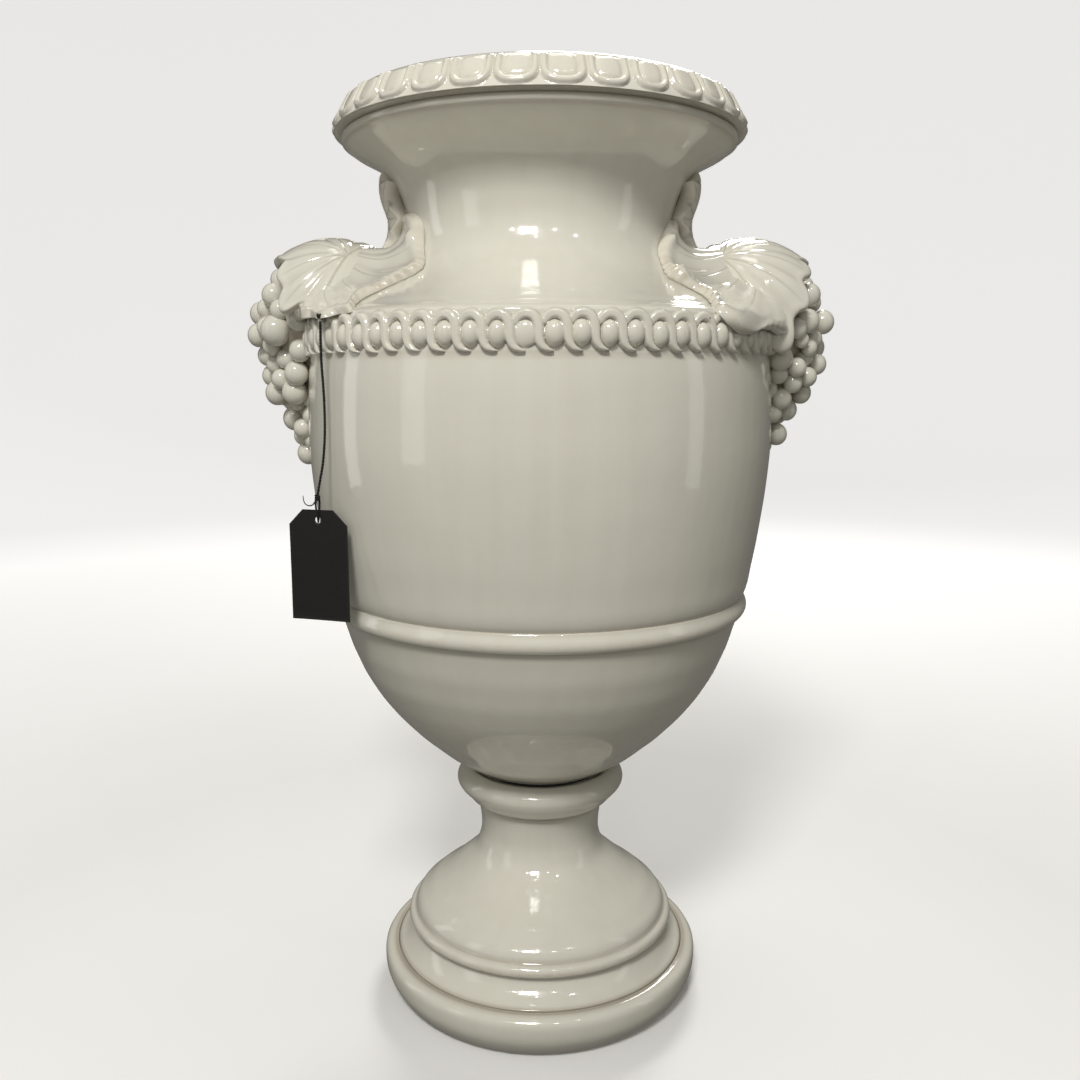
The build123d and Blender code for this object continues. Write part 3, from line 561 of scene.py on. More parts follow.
BAND_UNITS = 64
BAND_PITCH = TURN * BAND_R / BAND_UNITS
BAND_SPOKES = 26 * BAND_UNITS
BAND_LOW = 587.5
BAND_HIGH = 623.5
BEAD_Z = 603.0
BAND_ROWS = 54
JOINT_UNIT = 47
BEAD_SAG = 0.4
BEAD_HALF_W = 7.2
BEAD_HALF_H = 9.6
BEAD_OUT = 6.8
BAND_EDGE = 4.5
STRAP_STEPS = 60
STRAP_LINE = ((-7.4, 8.0), (-4.0, 12.0), (1.8, 13.4), (6.6, 10.4), (8.8, 4.0), (9.2, -2.8), (11.0, -8.2),
              (14.6, -11.2), (19.0, -12.4))
STRAP_WIDTH = (2.6, 3.3, 3.6, 3.8, 3.9, 3.8, 3.5, 2.5, 0.6)
STRAP_STAND = (2.4, 3.2, 4.0, 4.6, 5.0, 5.2, 5.2, 5.0, 4.2)


def band_relief(across, up, wide, flat):
    """Height of one bead and its strap over the band. The bead is half an ellipsoid; the strap's middle
    line starts low at the bead's upper left, goes over the bead and down its right, and away to a point
    under the next one. The strap's half width and height change along the line, and its section is a flat
    top with rounded edges."""
    bead = np.hypot(across / (BEAD_HALF_W * wide), (up + BEAD_SAG) / BEAD_HALF_H)
    height = BEAD_OUT * flat * np.sqrt(np.clip(1 - bead ** 2.2, 0, None))
    line = spline(STRAP_LINE, count=STRAP_STEPS)
    along = np.linspace(0, len(STRAP_LINE) - 1, STRAP_STEPS)
    half = np.interp(along, np.arange(len(STRAP_WIDTH)), STRAP_WIDTH)
    stand = np.interp(along, np.arange(len(STRAP_STAND)), STRAP_STAND)
    ratio = np.hypot(across[..., None] - line[:, 0], up[..., None] - line[:, 1]) / half
    near = np.argmin(ratio, axis=-1)
    ratio = np.min(ratio, axis=-1)
    return np.maximum(height, stand[near] * np.clip(1 - ratio ** 4, 0, None) ** 0.5)


def band_surface():
    """The band as one closed ring: relief rows stand out from the wall, and two rows behind them close it.
    Every place on the ring takes the highest of its own unit and the two beside it."""
    angle = np.arange(BAND_SPOKES) * TURN / BAND_SPOKES
    place = angle / TURN * BAND_UNITS
    level = np.linspace(BAND_LOW, BAND_HIGH, BAND_ROWS)
    shift = rng.normal(0, 0.35, BAND_UNITS)
    lift = rng.normal(0, 0.3, BAND_UNITS)
    wide = rng.normal(1.0, 0.04, BAND_UNITS)
    flat = rng.normal(1.0, 0.05, BAND_UNITS)
    wide[JOINT_UNIT] = 1.3
    flat[JOINT_UNIT] = 0.6
    height = np.zeros((BAND_ROWS, BAND_SPOKES))
    for beside in (-1, 0, 1):
        unit = np.floor(place).astype(int) + beside
        own = unit % BAND_UNITS
        across = ((place - unit - 0.5) * BAND_PITCH - shift[own])[None, :]
        up = level[:, None] - BEAD_Z - lift[own][None, :]
        across, up = np.broadcast_arrays(across, up)
        height = np.maximum(height, band_relief(across, up, wide[own][None, :], flat[own][None, :]))
    to_edge = np.clip(np.minimum(level - BAND_LOW, BAND_HIGH - level) / BAND_EDGE, 0, 1)
    height = height * np.sqrt(1 - (1 - to_edge) ** 2)[:, None]
    # Pooled glaze and painted shade in the hollows round beads and straps
    pool = np.clip(hollows(height, 2, 2) / 3.2, 0, 0.5)
    shoulder_z = (BAND_LOW, 619.4, 621.9, 625.3)
    shoulder_r = (BAND_R + 0.3, BAND_R + 0.2, 197.8, 190.3)
    ground = np.interp(level, shoulder_z, shoulder_r)[:, None]
    radius = ground + height
    radius[0] = BAND_R - 0.4
    radius[-1] = ground[-1] - 0.8
    radius = np.concatenate([radius, np.full((2, BAND_SPOKES), BAND_R - 8.0)])
    level = np.concatenate([level, [BAND_HIGH, BAND_LOW]])[:, None]
    points = around(radius, angle, level)
    behind = np.zeros((2, BAND_SPOKES))
    return points, np.concatenate([pool, behind]), np.concatenate([height / 60.0, behind])


band_points, band_pool_and_shade, band_thin = band_surface()
glazed("bead_and_strap_band", band_points, ["shoulder_beads", "shoulder_straps"], band_pool_and_shade, band_thin)


# Leaves

# Share of the way from stalk to outline at which a leaf's edge starts to round over, and the rings there
EDGE = 0.955
EDGE_RINGS = 7
FOLD_LENGTH = 10.0
TWIN_DROP = 0.7
HOOD_T = 5.5
SHOULDER_T = 6.5


def leaf(name, edge, veins, valleys, carrier, thickness, rings=32, spokes=280, vein=0.9, valley=1.6,
         curl=1.2, root=0.0, crinkle=0.0, swell=None, tan=0.25, twin=False):
    """A leaf as one closed shell. Its outline is a smooth closed curve through the edge's (angle, reach)
    marks, a little crinkled where the leaf's lower edge is thin. Points lie at shares of the way from the
    stalk to the outline; the carrier lays them on the form below, at a height. The height is the leaf's
    thickness and swell, less a fine incised line along each vein, less a soft trough along each valley,
    plus a curl that lifts the edge before it rounds over. A twin is the same shell mirrored to the urn's
    back."""
    turn, reach = np.array(sorted((a % 360, r) for a, r in edge)).T
    turn = np.radians(turn)
    outline = spline(np.stack([reach * np.cos(turn), reach * np.sin(turn)], -1), count=spokes, closed=True)
    lower = np.exp(-(outline[:, 1] / 42.0) ** 2) * (np.abs(outline[:, 0]) > 40)
    step = np.linalg.norm(np.roll(outline, -1, axis=0) - outline, axis=1)
    arc = np.cumsum(step) * TURN / step.sum()
    folds = np.round(step.sum() / FOLD_LENGTH)
    wave = np.sin(folds * arc + 2.5 * np.sin(5 * arc)) * (0.6 + 0.4 * np.sin(11 * arc))
    outline = outline * (1 + crinkle / reach.mean() * lower * wave)[:, None]
    rounding = EDGE + (1 - EDGE) * np.sin(np.linspace(0, math.pi / 2, EDGE_RINGS))
    share = np.concatenate([np.linspace(0, EDGE, rings)[1:], rounding[1:]])
    flat = share[:, None, None] * outline
    along = np.arctan2(flat[..., 1], flat[..., 0])
    far = np.hypot(flat[..., 0], flat[..., 1])

    def ray_distance(degrees):
        away = along[..., None] - np.radians(degrees)
        return np.min(np.where(np.cos(away) > 0, far[..., None] * np.abs(np.sin(away)), 1e3), axis=-1)

    out = share[:, None]
    cut = vein * np.exp(-(ray_distance(veins) / 0.9) ** 2) * np.clip(3 * (1.0 - out), 0, 1)
    dip = valley * np.exp(-(ray_distance(valleys) / (1.6 + 0.05 * far)) ** 2) * np.clip(out * 1.3, 0, 1)
    rolled = np.clip((out - EDGE) / (1 - EDGE), 0, 1)
    lift = curl * np.exp(-((out - 0.94) / 0.05) ** 2)
    ruffle = crinkle * lower * wave * np.clip((out - 0.88) / 0.08, 0, 1)
    body = swell(flat[..., 0], flat[..., 1]) if swell else 0.0
    height = (thickness - cut - dip + lift + ruffle) * np.sqrt(np.clip(1 - rolled ** 2, 0.02, 1)) + body
    under = np.linspace(0.985, 0.1, 8)
    sole = np.full((len(under), spokes), root)
    flat = np.concatenate([flat, under[:, None, None] * outline])
    rings_xyz = carrier(flat[..., 0], flat[..., 1], np.concatenate([height, sole]))
    head = carrier(np.zeros(1), np.zeros(1), np.full(1, height[0].mean()))[0]
    tail = carrier(np.zeros(1), np.zeros(1), np.full(1, root))[0]
    points, faces = capped(rings_xyz, head, tail)
    # Pooled glaze and painted shade along veins and valleys, and painted shade over the sole where the leaf
    # meets the urn
    pool = np.concatenate([np.clip(cut / vein * 0.4 + dip / valley * 0.16, 0, 1), np.full(sole.shape, 0.5)])
    thin = np.concatenate([tan * (0.25 + lower) * np.exp(-((out - 0.98) / 0.025) ** 2), np.zeros(sole.shape)])
    pool, thin = np.append(pool.ravel(), [0.2, 0.5]), np.append(thin.ravel(), [0, 0])
    if twin:
        back = points * (1, -1, 1) - (0, 0, TWIN_DROP)
        points, faces = joined([(points, faces), (back, [face[::-1] for face in faces])])
        pool, thin = np.tile(pool, 2), np.tile(thin, 2)
    glazed(name + "_vine_leaf", points, [name + "_leaf"], pool, thin, faces)


def dome_carrier(side, stalk):
    """Lays a leaf on the round hood over a bunch. The stalk is a direction from the dome's middle; a point
    at a given reach and turn goes that arc length along the great circle that leaves the stalk that way."""
    middle = np.array(DOME_AT) * (side, 1, 1)
    pole = unit_length(np.array(stalk) * (side, 1, 1))
    rise = unit_length(np.array([0, 0, 1.0]) - pole * pole[2])
    right = np.cross(rise, pole)

    def lay(a, b, height):
        reach = np.hypot(a, b)
        least = np.maximum(reach, 1e-9)
        arc = (reach / DOME_R)[..., None]
        turn = right * (a / least)[..., None] + rise * (b / least)[..., None]
        return middle + (pole * np.cos(arc) + turn * np.sin(arc)) * (DOME_R + height)[..., None]

    return lay


def skin_carrier(side, profile, at):
    """Lays a leaf on a turned form, a profile of (radius, height) from the neck outwards. The leaf's sideways
    reach becomes an angle about the urn's axis, its upward reach a length back along the profile."""
    line = spline(profile, step=1.5)
    length = lengths(line)
    tangent = unit_length(np.gradient(line, axis=0))
    normal = np.stack([-tangent[:, 1], tangent[:, 0]], -1)
    base = np.interp(at, length, line[:, 0])

    def lay(a, b, height):
        s = np.clip(at - b, 0, length[-1])
        radius = np.interp(s, length, line[:, 0]) + height * np.interp(s, length, normal[:, 0])
        level = np.interp(s, length, line[:, 1]) + height * np.interp(s, length, normal[:, 1])
        return around(radius, -a / base, level) * (side, 1, 1)

    return lay


# The forms that the leaves lie on: profiles of (radius, height) from the neck outwards

SHOULDER_SKIN = [(113.6, 712), (113.2, 700), (114.6, 690), (118.5, 678.4), (125, 667.8), (133.2, 658.9),
                 (141.8, 651.8), (151.2, 645.5), (160.8, 639.8), (170.5, 634.7), (180.3, 629.9), (190, 625.4)]
RIGHT_SKIN = SHOULDER_SKIN + [(199.6, 620.9), (206, 615.6), (208.6, 608), (209, 600)]
LEFT_SKIN = SHOULDER_SKIN + [(199.6, 621.2), (206.5, 618.8), (213, 617.6)]
NECK_SKIN = [(126, 757.5), (133, 750), (139, 739), (139.4, 728), (136.4, 716), (133.2, 705), (134.6, 690),
             (140, 680), (148, 671), (158, 662), (168, 653)]

# Outlines as (angle, reach) marks from the stalk, and the angles of veins and of the valleys between lobes

RIGHT_HOOD = ((-66, 50), (-58, 70), (-52, 68), (-49, 84), (-44, 98), (-37, 100), (-31, 93), (-24, 83),
              (-17, 82), (-10, 85), (0, 78), (7, 71), (16, 76), (26, 78), (34, 72), (44, 88), (54, 90),
              (64, 80), (75, 72), (90, 62), (104, 55), (118, 51), (132, 49), (146, 47), (160, 40), (185, 26),
              (215, 20), (250, 22), (275, 34))
RIGHT_VEINS = (-57, -40, -11, 19, 49, 95, 136)
RIGHT_VALLEYS = (-50, -24, 5, 34, 70, 116)
LEFT_HOOD = ((116, 80), (126, 88), (136, 84), (145, 68), (152, 62), (160, 54), (167, 54), (176, 60),
             (186, 60), (193, 60), (201, 68), (208, 74), (215, 68), (221, 58), (227, 62), (234, 71),
             (241, 65), (247, 54), (262, 36), (290, 24), (330, 20), (355, 26), (20, 40), (34, 46),
             (48, 48), (62, 50), (76, 54), (90, 61), (104, 70))
LEFT_VEINS = (236, 208, 182, 130, 90, 48)
LEFT_VALLEYS = (221, 194, 160, 108, 68)
RIGHT_SHOULDER = ((43, 106), (25, 122), (14, 128), (6, 134), (-1, 123), (-12, 132), (-19, 146), (-24, 144),
                  (-28, 137), (-32, 113), (-50, 84), (60, 96), (75, 84))
LEFT_SHOULDER = ((70, 92), (52, 110), (35, 124), (25, 125), (11, 137), (3, 118), (-4, 110), (-14, 118),
                 (-20, 133), (-23.5, 122), (-27, 123), (-29.5, 114), (-33, 96), (-37, 92), (-42, 80),
                 (-50, 72))
SHOULDER_ENDS = [(90, 76), (-90, 62)]
SHOULDER_VEINS = (43, 25, 8, -8, -23)
SHOULDER_VALLEYS = (34, 16, -1, -16, -29)
NECK_EDGE = ((90, 52), (72, 40), (58, 34), (42, 44), (18, 28), (-6, 38), (-34, 27), (-62, 44), (-90, 33),
             (-118, 44), (-146, 27), (186, 38), (162, 28), (138, 44), (122, 34), (108, 40))
NECK_VEINS = (90, 42, -6, -62, -118, 186, 138)
NECK_VALLEYS = (61, 18, -34, -90, -146, 162, 119)

# Stalks: directions from the dome's middle for the hoods, lengths along the profile for the leaves on a skin
RIGHT_STALK = (-0.375, -0.558, 0.74)
LEFT_STALK = (-0.256, -0.6, 0.758)
SHOULDER_STALK = 92.0
NECK_STALK = 56.0


def mirrored(front):
    """The marks of a leaf's front half, given by angle, and the same on its back half."""
    return list(front) + [(180 - a, r) for a, r in front]


def shoulder_swell(a, b):
    """How far the shoulder leaf stands off the skin: it sweeps up towards the hood over the bunch, its head
    beside the neck is plump and ends in a round boss."""
    a = np.abs(a)
    lip = 2.5 / (1 + np.exp(-(-b - 40) / 4))
    rise = 31 * np.exp(-(a / 60) ** 3 - ((b + 2) / 52) ** 4)
    head = 5 * np.exp(-((a - 78) / 24) ** 2 - ((b - 56) / 22) ** 2)
    boss = 5.5 * np.exp(-((a - 97) ** 2 + (b - 60) ** 2) / 10.0 ** 2)
    return rise - lip + head + boss


def scroll_swell(a, b):
    """How far the right shoulder leaf stands off: as the left one, with a scroll where two lobes part."""
    return shoulder_swell(a, b) + 5.0 * np.exp(-((np.abs(a) - 124) ** 2 + (b - 13) ** 2) / 7.5 ** 2)


def thumb_swell(a, b):
    """How far the right hood's lowest lobe stands up: one round thumb at the lobe's end."""
    return 4.5 * np.exp(-((a - 66) ** 2 + (b + 58) ** 2) / 15.0 ** 2)


def neck_swell(a, b):
    """How far the neck leaf falls away to the neck on either side of its midrib."""
    return -11 * np.clip(np.abs(a) / 40, 0, 1) ** 2


def front_and_back(angles):
    """The angles of a leaf's front half, and the same on its back half."""
    return angles + tuple(180 - a for a in angles)


for hand, side, hood, veins, valleys, stalk, shoulder, skin in (
        ("right", 1, RIGHT_HOOD, RIGHT_VEINS, RIGHT_VALLEYS, RIGHT_STALK, RIGHT_SHOULDER, RIGHT_SKIN),
        ("left", -1, LEFT_HOOD, LEFT_VEINS, LEFT_VALLEYS, LEFT_STALK, LEFT_SHOULDER, LEFT_SKIN)):
    leaf(hand + "_hood", hood, veins, valleys, dome_carrier(side, stalk), HOOD_T,
         swell=thumb_swell if side > 0 else None, twin=True)
    leaf(hand + "_shoulder", mirrored(shoulder) + SHOULDER_ENDS, front_and_back(SHOULDER_VEINS),
         front_and_back(SHOULDER_VALLEYS), skin_carrier(side, skin, SHOULDER_STALK), SHOULDER_T, rings=40,
         spokes=640, vein=0.5, valley=1.7, curl=1.4, root=-0.5, crinkle=1.1,
         swell=scroll_swell if side > 0 else shoulder_swell, tan=0.45)
    leaf(hand + "_neck", NECK_EDGE, NECK_VEINS, NECK_VALLEYS, skin_carrier(side, NECK_SKIN, NECK_STALK), 0.0,
         vein=0.7, valley=1.2, curl=0.8, root=-17.0, swell=neck_swell)


# Grapes

# Out from the band, forward, up from the band's middle, and radius
LEFT_GRAPES = ((47, 1.5, 22, 10), (26, 37, 6, 13), (4, 44, 16, 11), (47, 12, 3, 10), (45, -13, 1, 9.5),
               (5, 41, -11, 9.5), (43, 0, -14, 9.2), (10, 36, -30, 10.5), (41, -6, -32, 9.5),
               (33, 12, -47, 10.5), (31, -13, -49, 10), (14, 28, -46, 11), (22, -3, -70, 10.5),
               (11, 14, -78, 8.5), (9, -14, -80, 8.5), (10, 0, -101, 10), (25, 15, 50, 9.3),
               (24, -16, 48, 8.5), (29, 28, 36, 10))
RIGHT_GRAPES = ((29, 36, 14, 10), (47, 16, 14, 10), (45, -17, 14, 9.5), (24, 37, -2, 6.7), (33, 27, -8, 7.5),
                (46, -8, -7, 10), (6, 40, -17, 10.7), (22, 33, -25, 8.2), (45, 8, -22, 9), (42, -10, -30, 9),
                (35, 18, -33, 8.5), (33, 4, -47, 9.5), (12, 23, -52, 9), (21, 4, -62, 9.5), (13, 4, -84, 9.5),
                (32, 2, 45, 9.5), (31, 28, 36, 10))

# The lumps under the grapes: out from the band, up from its middle, and radius
LUMPS = ((-8, 12, 51.0), (15, -2, 30.0), (8, -26, 31.0), (4, -58, 19.0), (4, -84, 10.0))
LUMP_SINK = 4.0
GRAPE_LONG = 1.06
TWIN_FORWARD = 20.0
FILLER_R = 8.5
FILLER_ROOM = 0.8
FILLER_TRIES = 220


def grape_forms(middles, sizes, rows=13, spokes=22):
    """Every grape at once: an upright ball, a little longer than it is wide, with a small dimple at its
    lower end where the blossom was. Each is that ball scaled by its size and set at its middle."""
    lat = np.linspace(0, math.pi, rows + 2)[1:-1, None]
    lon = np.arange(spokes) * TURN / spokes
    ball = around(np.sin(lat), lon, GRAPE_LONG * np.cos(lat))
    shell, faces = capped(ball[::-1], np.array([0, 0, -1.0]), np.array([0, 0, GRAPE_LONG]))
    points = middles[:, None, :] + sizes[:, None, None] * shell
    step = (np.arange(len(middles)) * len(shell))[:, None, None]
    quad, tri = (np.array([face for face in faces if len(face) == corners]) for corners in (4, 3))
    return points, (quad + step).reshape(-1, 4).tolist() + (tri + step).reshape(-1, 3).tolist()


def bunch(hand, side, grapes):
    """One bunch: the counted grapes, their twins behind, filler grapes on a spiral over the lumps that
    carry them wherever there is room, and the lumps. Glaze pools, with painted shade, on a grape's side
    towards the wall, and the lumps between the grapes are painted dark as shade."""
    given = np.array(grapes, float)
    twins = given[given[:, 1] > TWIN_FORWARD] * (1, -1, 1, 1) - (2, 0, 2, 0)
    given = np.concatenate([given, twins])
    spot = np.stack([BAND_R + given[:, 0], -given[:, 1], NECK_Z + given[:, 2]], -1)
    size = given[:, 3]
    turn = np.arange(FILLER_TRIES)
    height = 1 - 2 * (turn + 0.5) / len(turn)
    swirl = turn * math.pi * (3 - math.sqrt(5))
    ball = around(np.sqrt(1 - height ** 2), swirl, height)
    lump_at = np.array([(BAND_R + out, 0, NECK_Z + up) for out, up, _ in LUMPS])
    lump_r = np.array([reach for _, _, reach in LUMPS])
    for candidate in (lump_at[:, None, :] + ball * lump_r[:, None, None]).reshape(-1, 3):
        clear = np.linalg.norm(spot - candidate, axis=1) > FILLER_ROOM * (size + FILLER_R)
        buried = np.linalg.norm(candidate - lump_at, axis=1) < lump_r - 3
        hooded = np.linalg.norm(candidate - DOME_AT) < DOME_R - 8 or candidate[2] < NECK_Z
        if clear.all() and hooded and not buried.any() and np.hypot(*candidate[:2]) > BAND_R + 1:
            spot = np.concatenate([spot, [candidate]])
            size = np.append(size, FILLER_R)
    centre = np.concatenate([spot, lump_at])
    size = np.concatenate([size, lump_r - LUMP_SINK])
    points, faces = grape_forms(centre, size)
    towards = unit_length(np.array([BAND_R - 12, 0, 0]) + centre * (0, 0, 1.0) - centre)
    facing = np.einsum("nki,ni->nk", points - centre[:, None, :], towards) / size[:, None]
    # Pooled glaze and painted shade on each grape's side towards the wall, and darker painted shade on the
    # lumps
    pool = np.clip(facing * 1.1 - 0.05, 0, 0.8)
    pool[len(spot):] = 0.9
    glazed(hand + "_grapes", points * (side, 1, 1), [hand + "_grape_bunch"], pool, np.zeros(pool.shape),
           faces)


bunch("right", 1, RIGHT_GRAPES)
bunch("left", -1, LEFT_GRAPES)


# Tag, its loop, the cord and its knot

TAG_AT = np.array([-174.6, -130.0, 461.0])
TAG_TURN = math.radians(17)
TAG_W = 51.0
TAG_H = 89.0
TAG_CLIP = 12.0
TAG_HOLE_R = 2.6
TAG_HOLE_DOWN = 8.0
TAG_T = 0.8
STRING_R = 0.8
COIL_R = 1.5
COIL_TURNS = 2.6
COIL_AT = np.array([-174.6, -130.0, 476.2])
COIL_H = 4.2
LOOSE_END = ((-175.4, -131.6, 477), (-179.4, -132.4, 472.6), (-183, -132.6, 473.4), (-185.2, -132.8, 480.5))
LOOSE_END_R = (0.6, 0.3)
KNOT_AT = np.array([-168.0, -128.6, 618.0])
KNOT_SIZE = 0.72
KNOT_STRING_R = 0.95


def tag_place(across, up, out):
    """From the card's own sideways, upward and outward lengths to its place: hung at its hole and turned a
    little, with a slight bow across its width."""
    out = out + 0.5 * (across / (TAG_W / 2)) ** 2 + 0.25 * np.sin(up / 30.0)
    return np.stack([TAG_AT[0] + across * math.cos(TAG_TURN) - out * math.sin(TAG_TURN),
                     TAG_AT[1] - across * math.sin(TAG_TURN) - out * math.cos(TAG_TURN),
                     TAG_AT[2] + up], -1)


def tag_card():
    """The card as one closed grid: lines run from the hole to the clipped outline on the front, over the
    rounded edge, back to the hole on the reverse and through the hole again."""
    half, top, low = TAG_W / 2, TAG_HOLE_DOWN, TAG_HOLE_DOWN - TAG_H
    corners = np.array([(half, low), (half, top - TAG_CLIP), (half - TAG_CLIP, top), (TAG_CLIP - half, top),
                        (-half, top - TAG_CLIP), (-half, low), (half, low)])
    steps = np.linspace(0, 1, 25)[:-1, None]
    edge = np.concatenate([a + (b - a) * steps for a, b in zip(corners[:-1], corners[1:])])
    turn = np.arctan2(edge[:, 1], edge[:, 0])
    hole = TAG_HOLE_R * np.stack([np.cos(turn), np.sin(turn)], -1)
    share = np.concatenate([[0.0, 0.02], np.linspace(0.06, 0.97, 16), [0.99, 1.0]])
    flat = hole + share[:, None, None] * (edge - hole)
    rise = np.full(len(share), TAG_T / 2)
    rise[[0, -1]] = TAG_T * 0.25
    flat = np.concatenate([flat, flat[::-1]])
    rise = np.concatenate([rise, -rise[::-1]])[:, None] * np.ones(len(edge))
    rub = np.exp(-((np.concatenate([share, share[::-1]]) - 1.0) / 0.02) ** 2)[:, None] * np.ones(len(edge))
    return tag_place(flat[..., 0], flat[..., 1], rise), rub


def tube(path, radius, sides=10, closed=False, guide=(0.31, 0.22, 0.92)):
    """A round tube along a path: at each point a ring in the plane across the path, turned about a guide
    line. Open ends are closed flat, round a point on the path."""
    path = np.asarray(path, float)
    ahead = np.roll(path, -1, axis=0) - np.roll(path, 1, axis=0) if closed else np.gradient(path, axis=0)
    ahead = unit_length(ahead)
    across = unit_length(np.cross(ahead, guide))
    other = np.cross(ahead, across)
    turn = np.arange(sides) * TURN / sides
    width = np.broadcast_to(radius, len(path))[:, None, None]
    spoke = np.cos(turn)[:, None] * across[:, None, :] + np.sin(turn)[:, None] * other[:, None, :]
    rings = path[:, None, :] + width * spoke
    if closed:
        return rings.reshape(-1, 3), quads(len(path), sides, wrap_rows=True).tolist()
    return capped(rings, path[0], path[-1])


def tag_string():
    """The string in the tag's hole: a closed oval loop that stands up from the hole, a coil of a little
    over two turns where it is tied, and a loose end that curls away and thins out."""
    lap = np.arange(72) * TURN / 72
    loop = tag_place(0.7 * np.sin(2 * lap), 8.3 - 10.0 * np.cos(lap), 2.4 * np.sin(lap))
    rise = np.linspace(0, 1, 70)
    coil = COIL_AT + around(COIL_R, rise * COIL_TURNS * TURN, COIL_H * rise)
    end = spline(LOOSE_END, count=24)
    return joined([tube(loop, STRING_R, closed=True), tube(coil, STRING_R),
                   tube(end, np.linspace(*LOOSE_END_R, len(end)))])


def top_knot():
    """The knot at the cord's upper end: a tube along a trefoil, whose place is sin t + 2 sin 2t across,
    cos t - 2 cos 2t deep and a share of sin 3t down."""
    t = np.arange(90) * TURN / 90
    trefoil = np.stack([np.sin(t) + 2 * np.sin(2 * t), np.cos(t) - 2 * np.cos(2 * t),
                        -1.6 * np.sin(3 * t)], -1)
    return tube(KNOT_AT + KNOT_SIZE * trefoil, KNOT_STRING_R, closed=True)


card_points, card_rub = tag_card()
piece("swing_tag_card", card_points, quads(*card_points.shape[:2], wrap_rows=True), CARD, "tag", "card",
      ["swing_tag"], thin=card_rub)
loop_piece = piece("tag_loop_cord", *tag_string(), CORD, "tag", "cord", ["tag_loop"])
piece("cord_top_knot", *top_knot(), CORD, "urn", "cord", ["cord_knot"])

# The cord's route, in metres
CORD_POINTS = ((-0.168, -0.1286, 0.6137), (-0.1686, -0.1290, 0.589), (-0.1669, -0.1296, 0.561),
               (-0.1666, -0.1302, 0.532), (-0.1690, -0.1300, 0.506), (-0.1724, -0.1301, 0.491),
               (-0.1746, -0.1300, 0.4793))

# Its two strands, in millimetres
STRAND_R = 0.62
STRAND_OFF = 0.5
TWIST_PITCH = 5.2
STRAND_GUIDE = (1.0, 0.1, 0.0)


def cord_route():
    """The cord's line in millimetres: one smooth spline whose control points are the route's points."""
    curve = bpy.data.curves.new("cord_route", "CURVE")
    curve.dimensions = "3D"
    curve.resolution_u = 24
    line = curve.splines.new("NURBS")
    line.points.add(len(CORD_POINTS) - 1)
    line.points.foreach_set("co", np.c_[np.array(CORD_POINTS), np.ones(len(CORD_POINTS))].ravel())
    line.order_u = 3
    line.use_endpoint_u = True
    holder = bpy.data.objects.new("cord_route", curve)
    mesh = bpy.data.meshes.new_from_object(holder)
    points = np.empty(len(mesh.vertices) * 3)
    mesh.vertices.foreach_get("co", points)
    bpy.data.objects.remove(holder)
    bpy.data.curves.remove(curve)
    bpy.data.meshes.remove(mesh)
    return points.reshape(-1, 3) / MM


def cord_strands(route):
    """Two strands twisted round each other: each keeps a small distance from the route and turns about it
    once every few millimetres of its length."""
    far = lengths(route)
    at = np.linspace(0, far[-1], 420)
    line = np.stack([np.interp(at, far, route[:, k]) for k in range(3)], -1)
    swing = around(STRAND_OFF, at / TWIST_PITCH * TURN, 0.0)
    return joined([tube(line + swing, STRAND_R, sides=8, guide=STRAND_GUIDE),
                   tube(line - swing, STRAND_R, sides=8, guide=STRAND_GUIDE)])


route = cord_route()
cord_piece = piece("tag_cord_twist", *cord_strands(route), CORD, "hanging_cord", "cord", ["tag_cord"])


# Hidden fittings keep their own shape

FITTINGS = {"tie_rod": STEEL, "bowl_washer": STEEL, "bowl_nut": STEEL, "foot_washer": STEEL,
            "foot_nut": STEEL, "seat_gasket": RUBBER, "bowl_seal": RUBBER}

for node_name, finish in FITTINGS.items():
    slots = nodes[node_name].data.materials
    slots.clear()
    slots.append(finish)


# Floor, light and camera, in metres

FLOOR_R = 3.4
SWEEP_R = 1.6
WALL_H = 7.0
SWEEP_SPOKES = 96
LAMP_TINT = (1, 0.985, 0.95)
ROOM_TINT = (1.0, 0.95, 0.86, 1)
GLINTS = ((-0.75, -1.6, 2.0), (0.45, -1.9, 2.2), (-0.1, -1.5, 2.5), (0.9, -1.3, 2.3))
CAMERA_AT = (0.0, -0.9252, 0.5739)
CAMERA_DOWN = 9.211


def studio():
    """A round floor that sweeps up into a backdrop: a profile of (reach, height) carried once round. It
    stays out of the light that the urn gets, so that the room's own light reaches it from all sides."""
    bend = np.linspace(0, math.pi / 2, 16)
    curve = np.stack([FLOOR_R + SWEEP_R * np.sin(bend), SWEEP_R - SWEEP_R * np.cos(bend)], -1)
    line = np.concatenate([[(0.02, 0.0), (2.0, 0.0)], curve, [(FLOOR_R + SWEEP_R, WALL_H)]])
    turn = np.arange(SWEEP_SPOKES) * TURN / SWEEP_SPOKES
    points = around(line[:, :1], turn, line[:, 1:])
    mesh = bpy.data.meshes.new("pale_sweep")
    mesh.from_pydata(points.reshape(-1, 3).tolist(), [], quads(len(line), SWEEP_SPOKES).tolist())
    mesh.shade_smooth()
    mesh.materials.append(floor_finish())
    sweep = bpy.data.objects.new("pale_sweep", mesh)
    bpy.context.scene.collection.objects.link(sweep)
    sweep.visible_diffuse = False
    sweep.visible_glossy = False
    sweep.visible_shadow = False


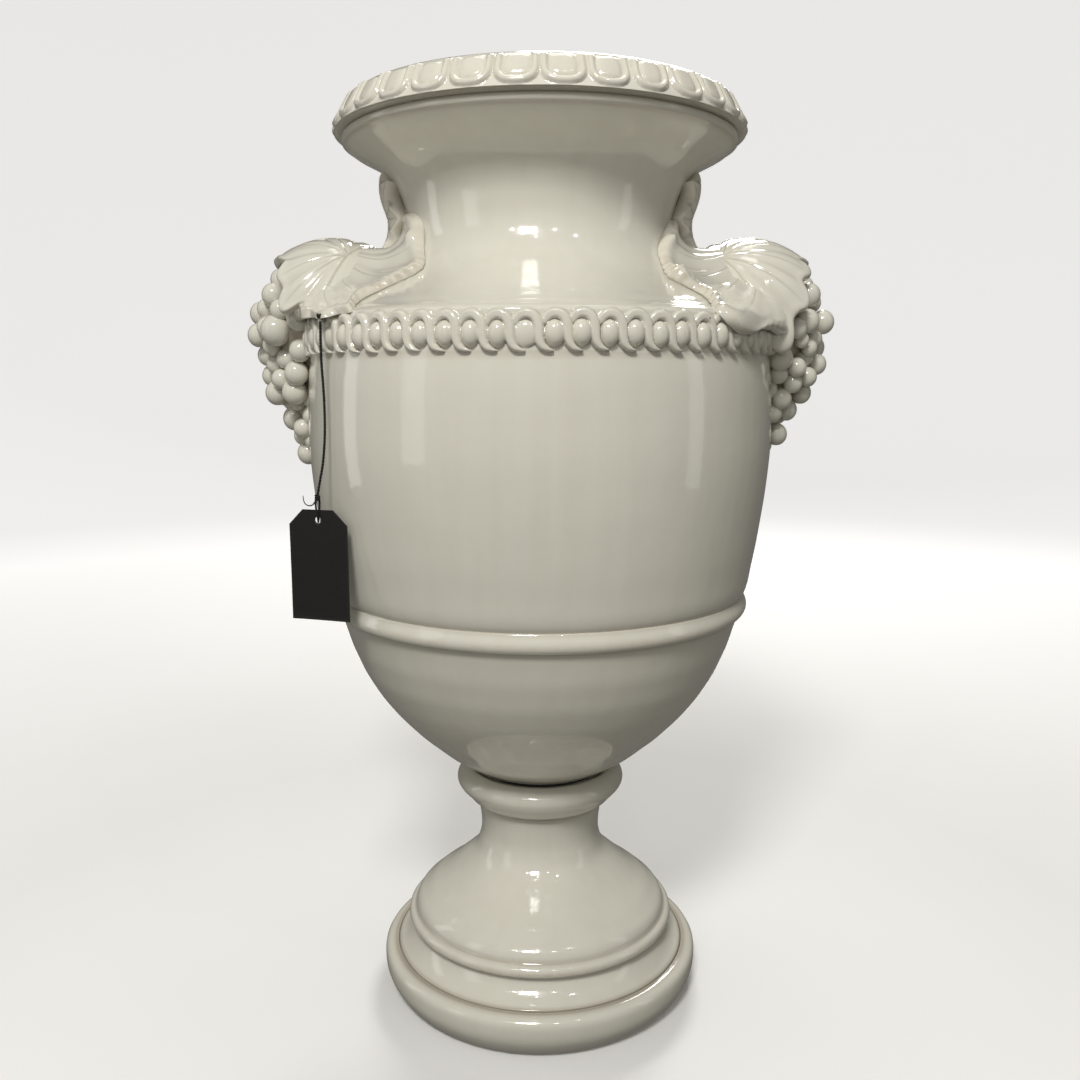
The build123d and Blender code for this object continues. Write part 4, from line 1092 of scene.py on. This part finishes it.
def lamp(name, at, aim, size, power, glossy=True):
    """A soft lamp of a width and height that faces its aim; a fill lamp leaves no reflection in the glaze."""
    data = bpy.data.lights.new(name, "AREA")
    data.shape = "RECTANGLE"
    data.size, data.size_y = size
    data.energy = power
    data.color = LAMP_TINT
    made = bpy.data.objects.new(name, data)
    bpy.context.scene.collection.objects.link(made)
    made.visible_glossy = glossy
    away = np.array(at) - np.array(aim)
    reach = float(np.linalg.norm(away))
    made.location = at
    made.rotation_euler = (math.acos(away[2] / reach), 0, math.atan2(away[1], away[0]) + math.pi / 2)


studio()
lamp("key_soft", (-0.35, -1.9, 2.3), (0, 0, 0.6), (0.5, 0.45), 42)
lamp("low_fill", (-0.3, -2.0, 0.9), (0, 0, 0.05), (1.2, 0.5), 5.5, glossy=False)
lamp("overhead_soft", (0.1, 0.5, 2.6), (0, 0, 0.6), (1.2, 1.0), 9)
lamp("back_soft", (0.4, 2.2, 2.2), (0, 0, 0.5), (1.0, 0.9), 34)
lamp("strip_left", (-2.3, -1.4, 1.0), (0, 0, 0.5), (0.6, 1.9), 3)
lamp("strip_far_left", (-2.4, 0.3, 0.9), (0, 0, 0.5), (0.4, 1.9), 2.5)
lamp("strip_right", (2.2, -0.6, 0.9), (0, 0, 0.5), (0.35, 1.9), 1.6)
for spot, place in enumerate(GLINTS):
    lamp("glint_%d" % spot, place, (0, 0, 0.65), (0.06, 0.06), 1.4)

world = bpy.data.worlds.new("soft_room")
world.use_nodes = True
background = world.node_tree.nodes["Background"]
background.inputs["Color"].default_value = ROOM_TINT
background.inputs["Strength"].default_value = 0.15
bpy.context.scene.world = world

camera_data = bpy.data.cameras.new("photo_camera")
camera_data.sensor_width = 36.0
camera_data.lens = 34.0
camera = bpy.data.objects.new("photo_camera", camera_data)
camera.location = CAMERA_AT
camera.rotation_euler = (math.radians(90 - CAMERA_DOWN), 0, 0)
bpy.context.scene.collection.objects.link(camera)
bpy.context.scene.camera = camera
bpy.context.scene.view_settings.view_transform = "Standard"
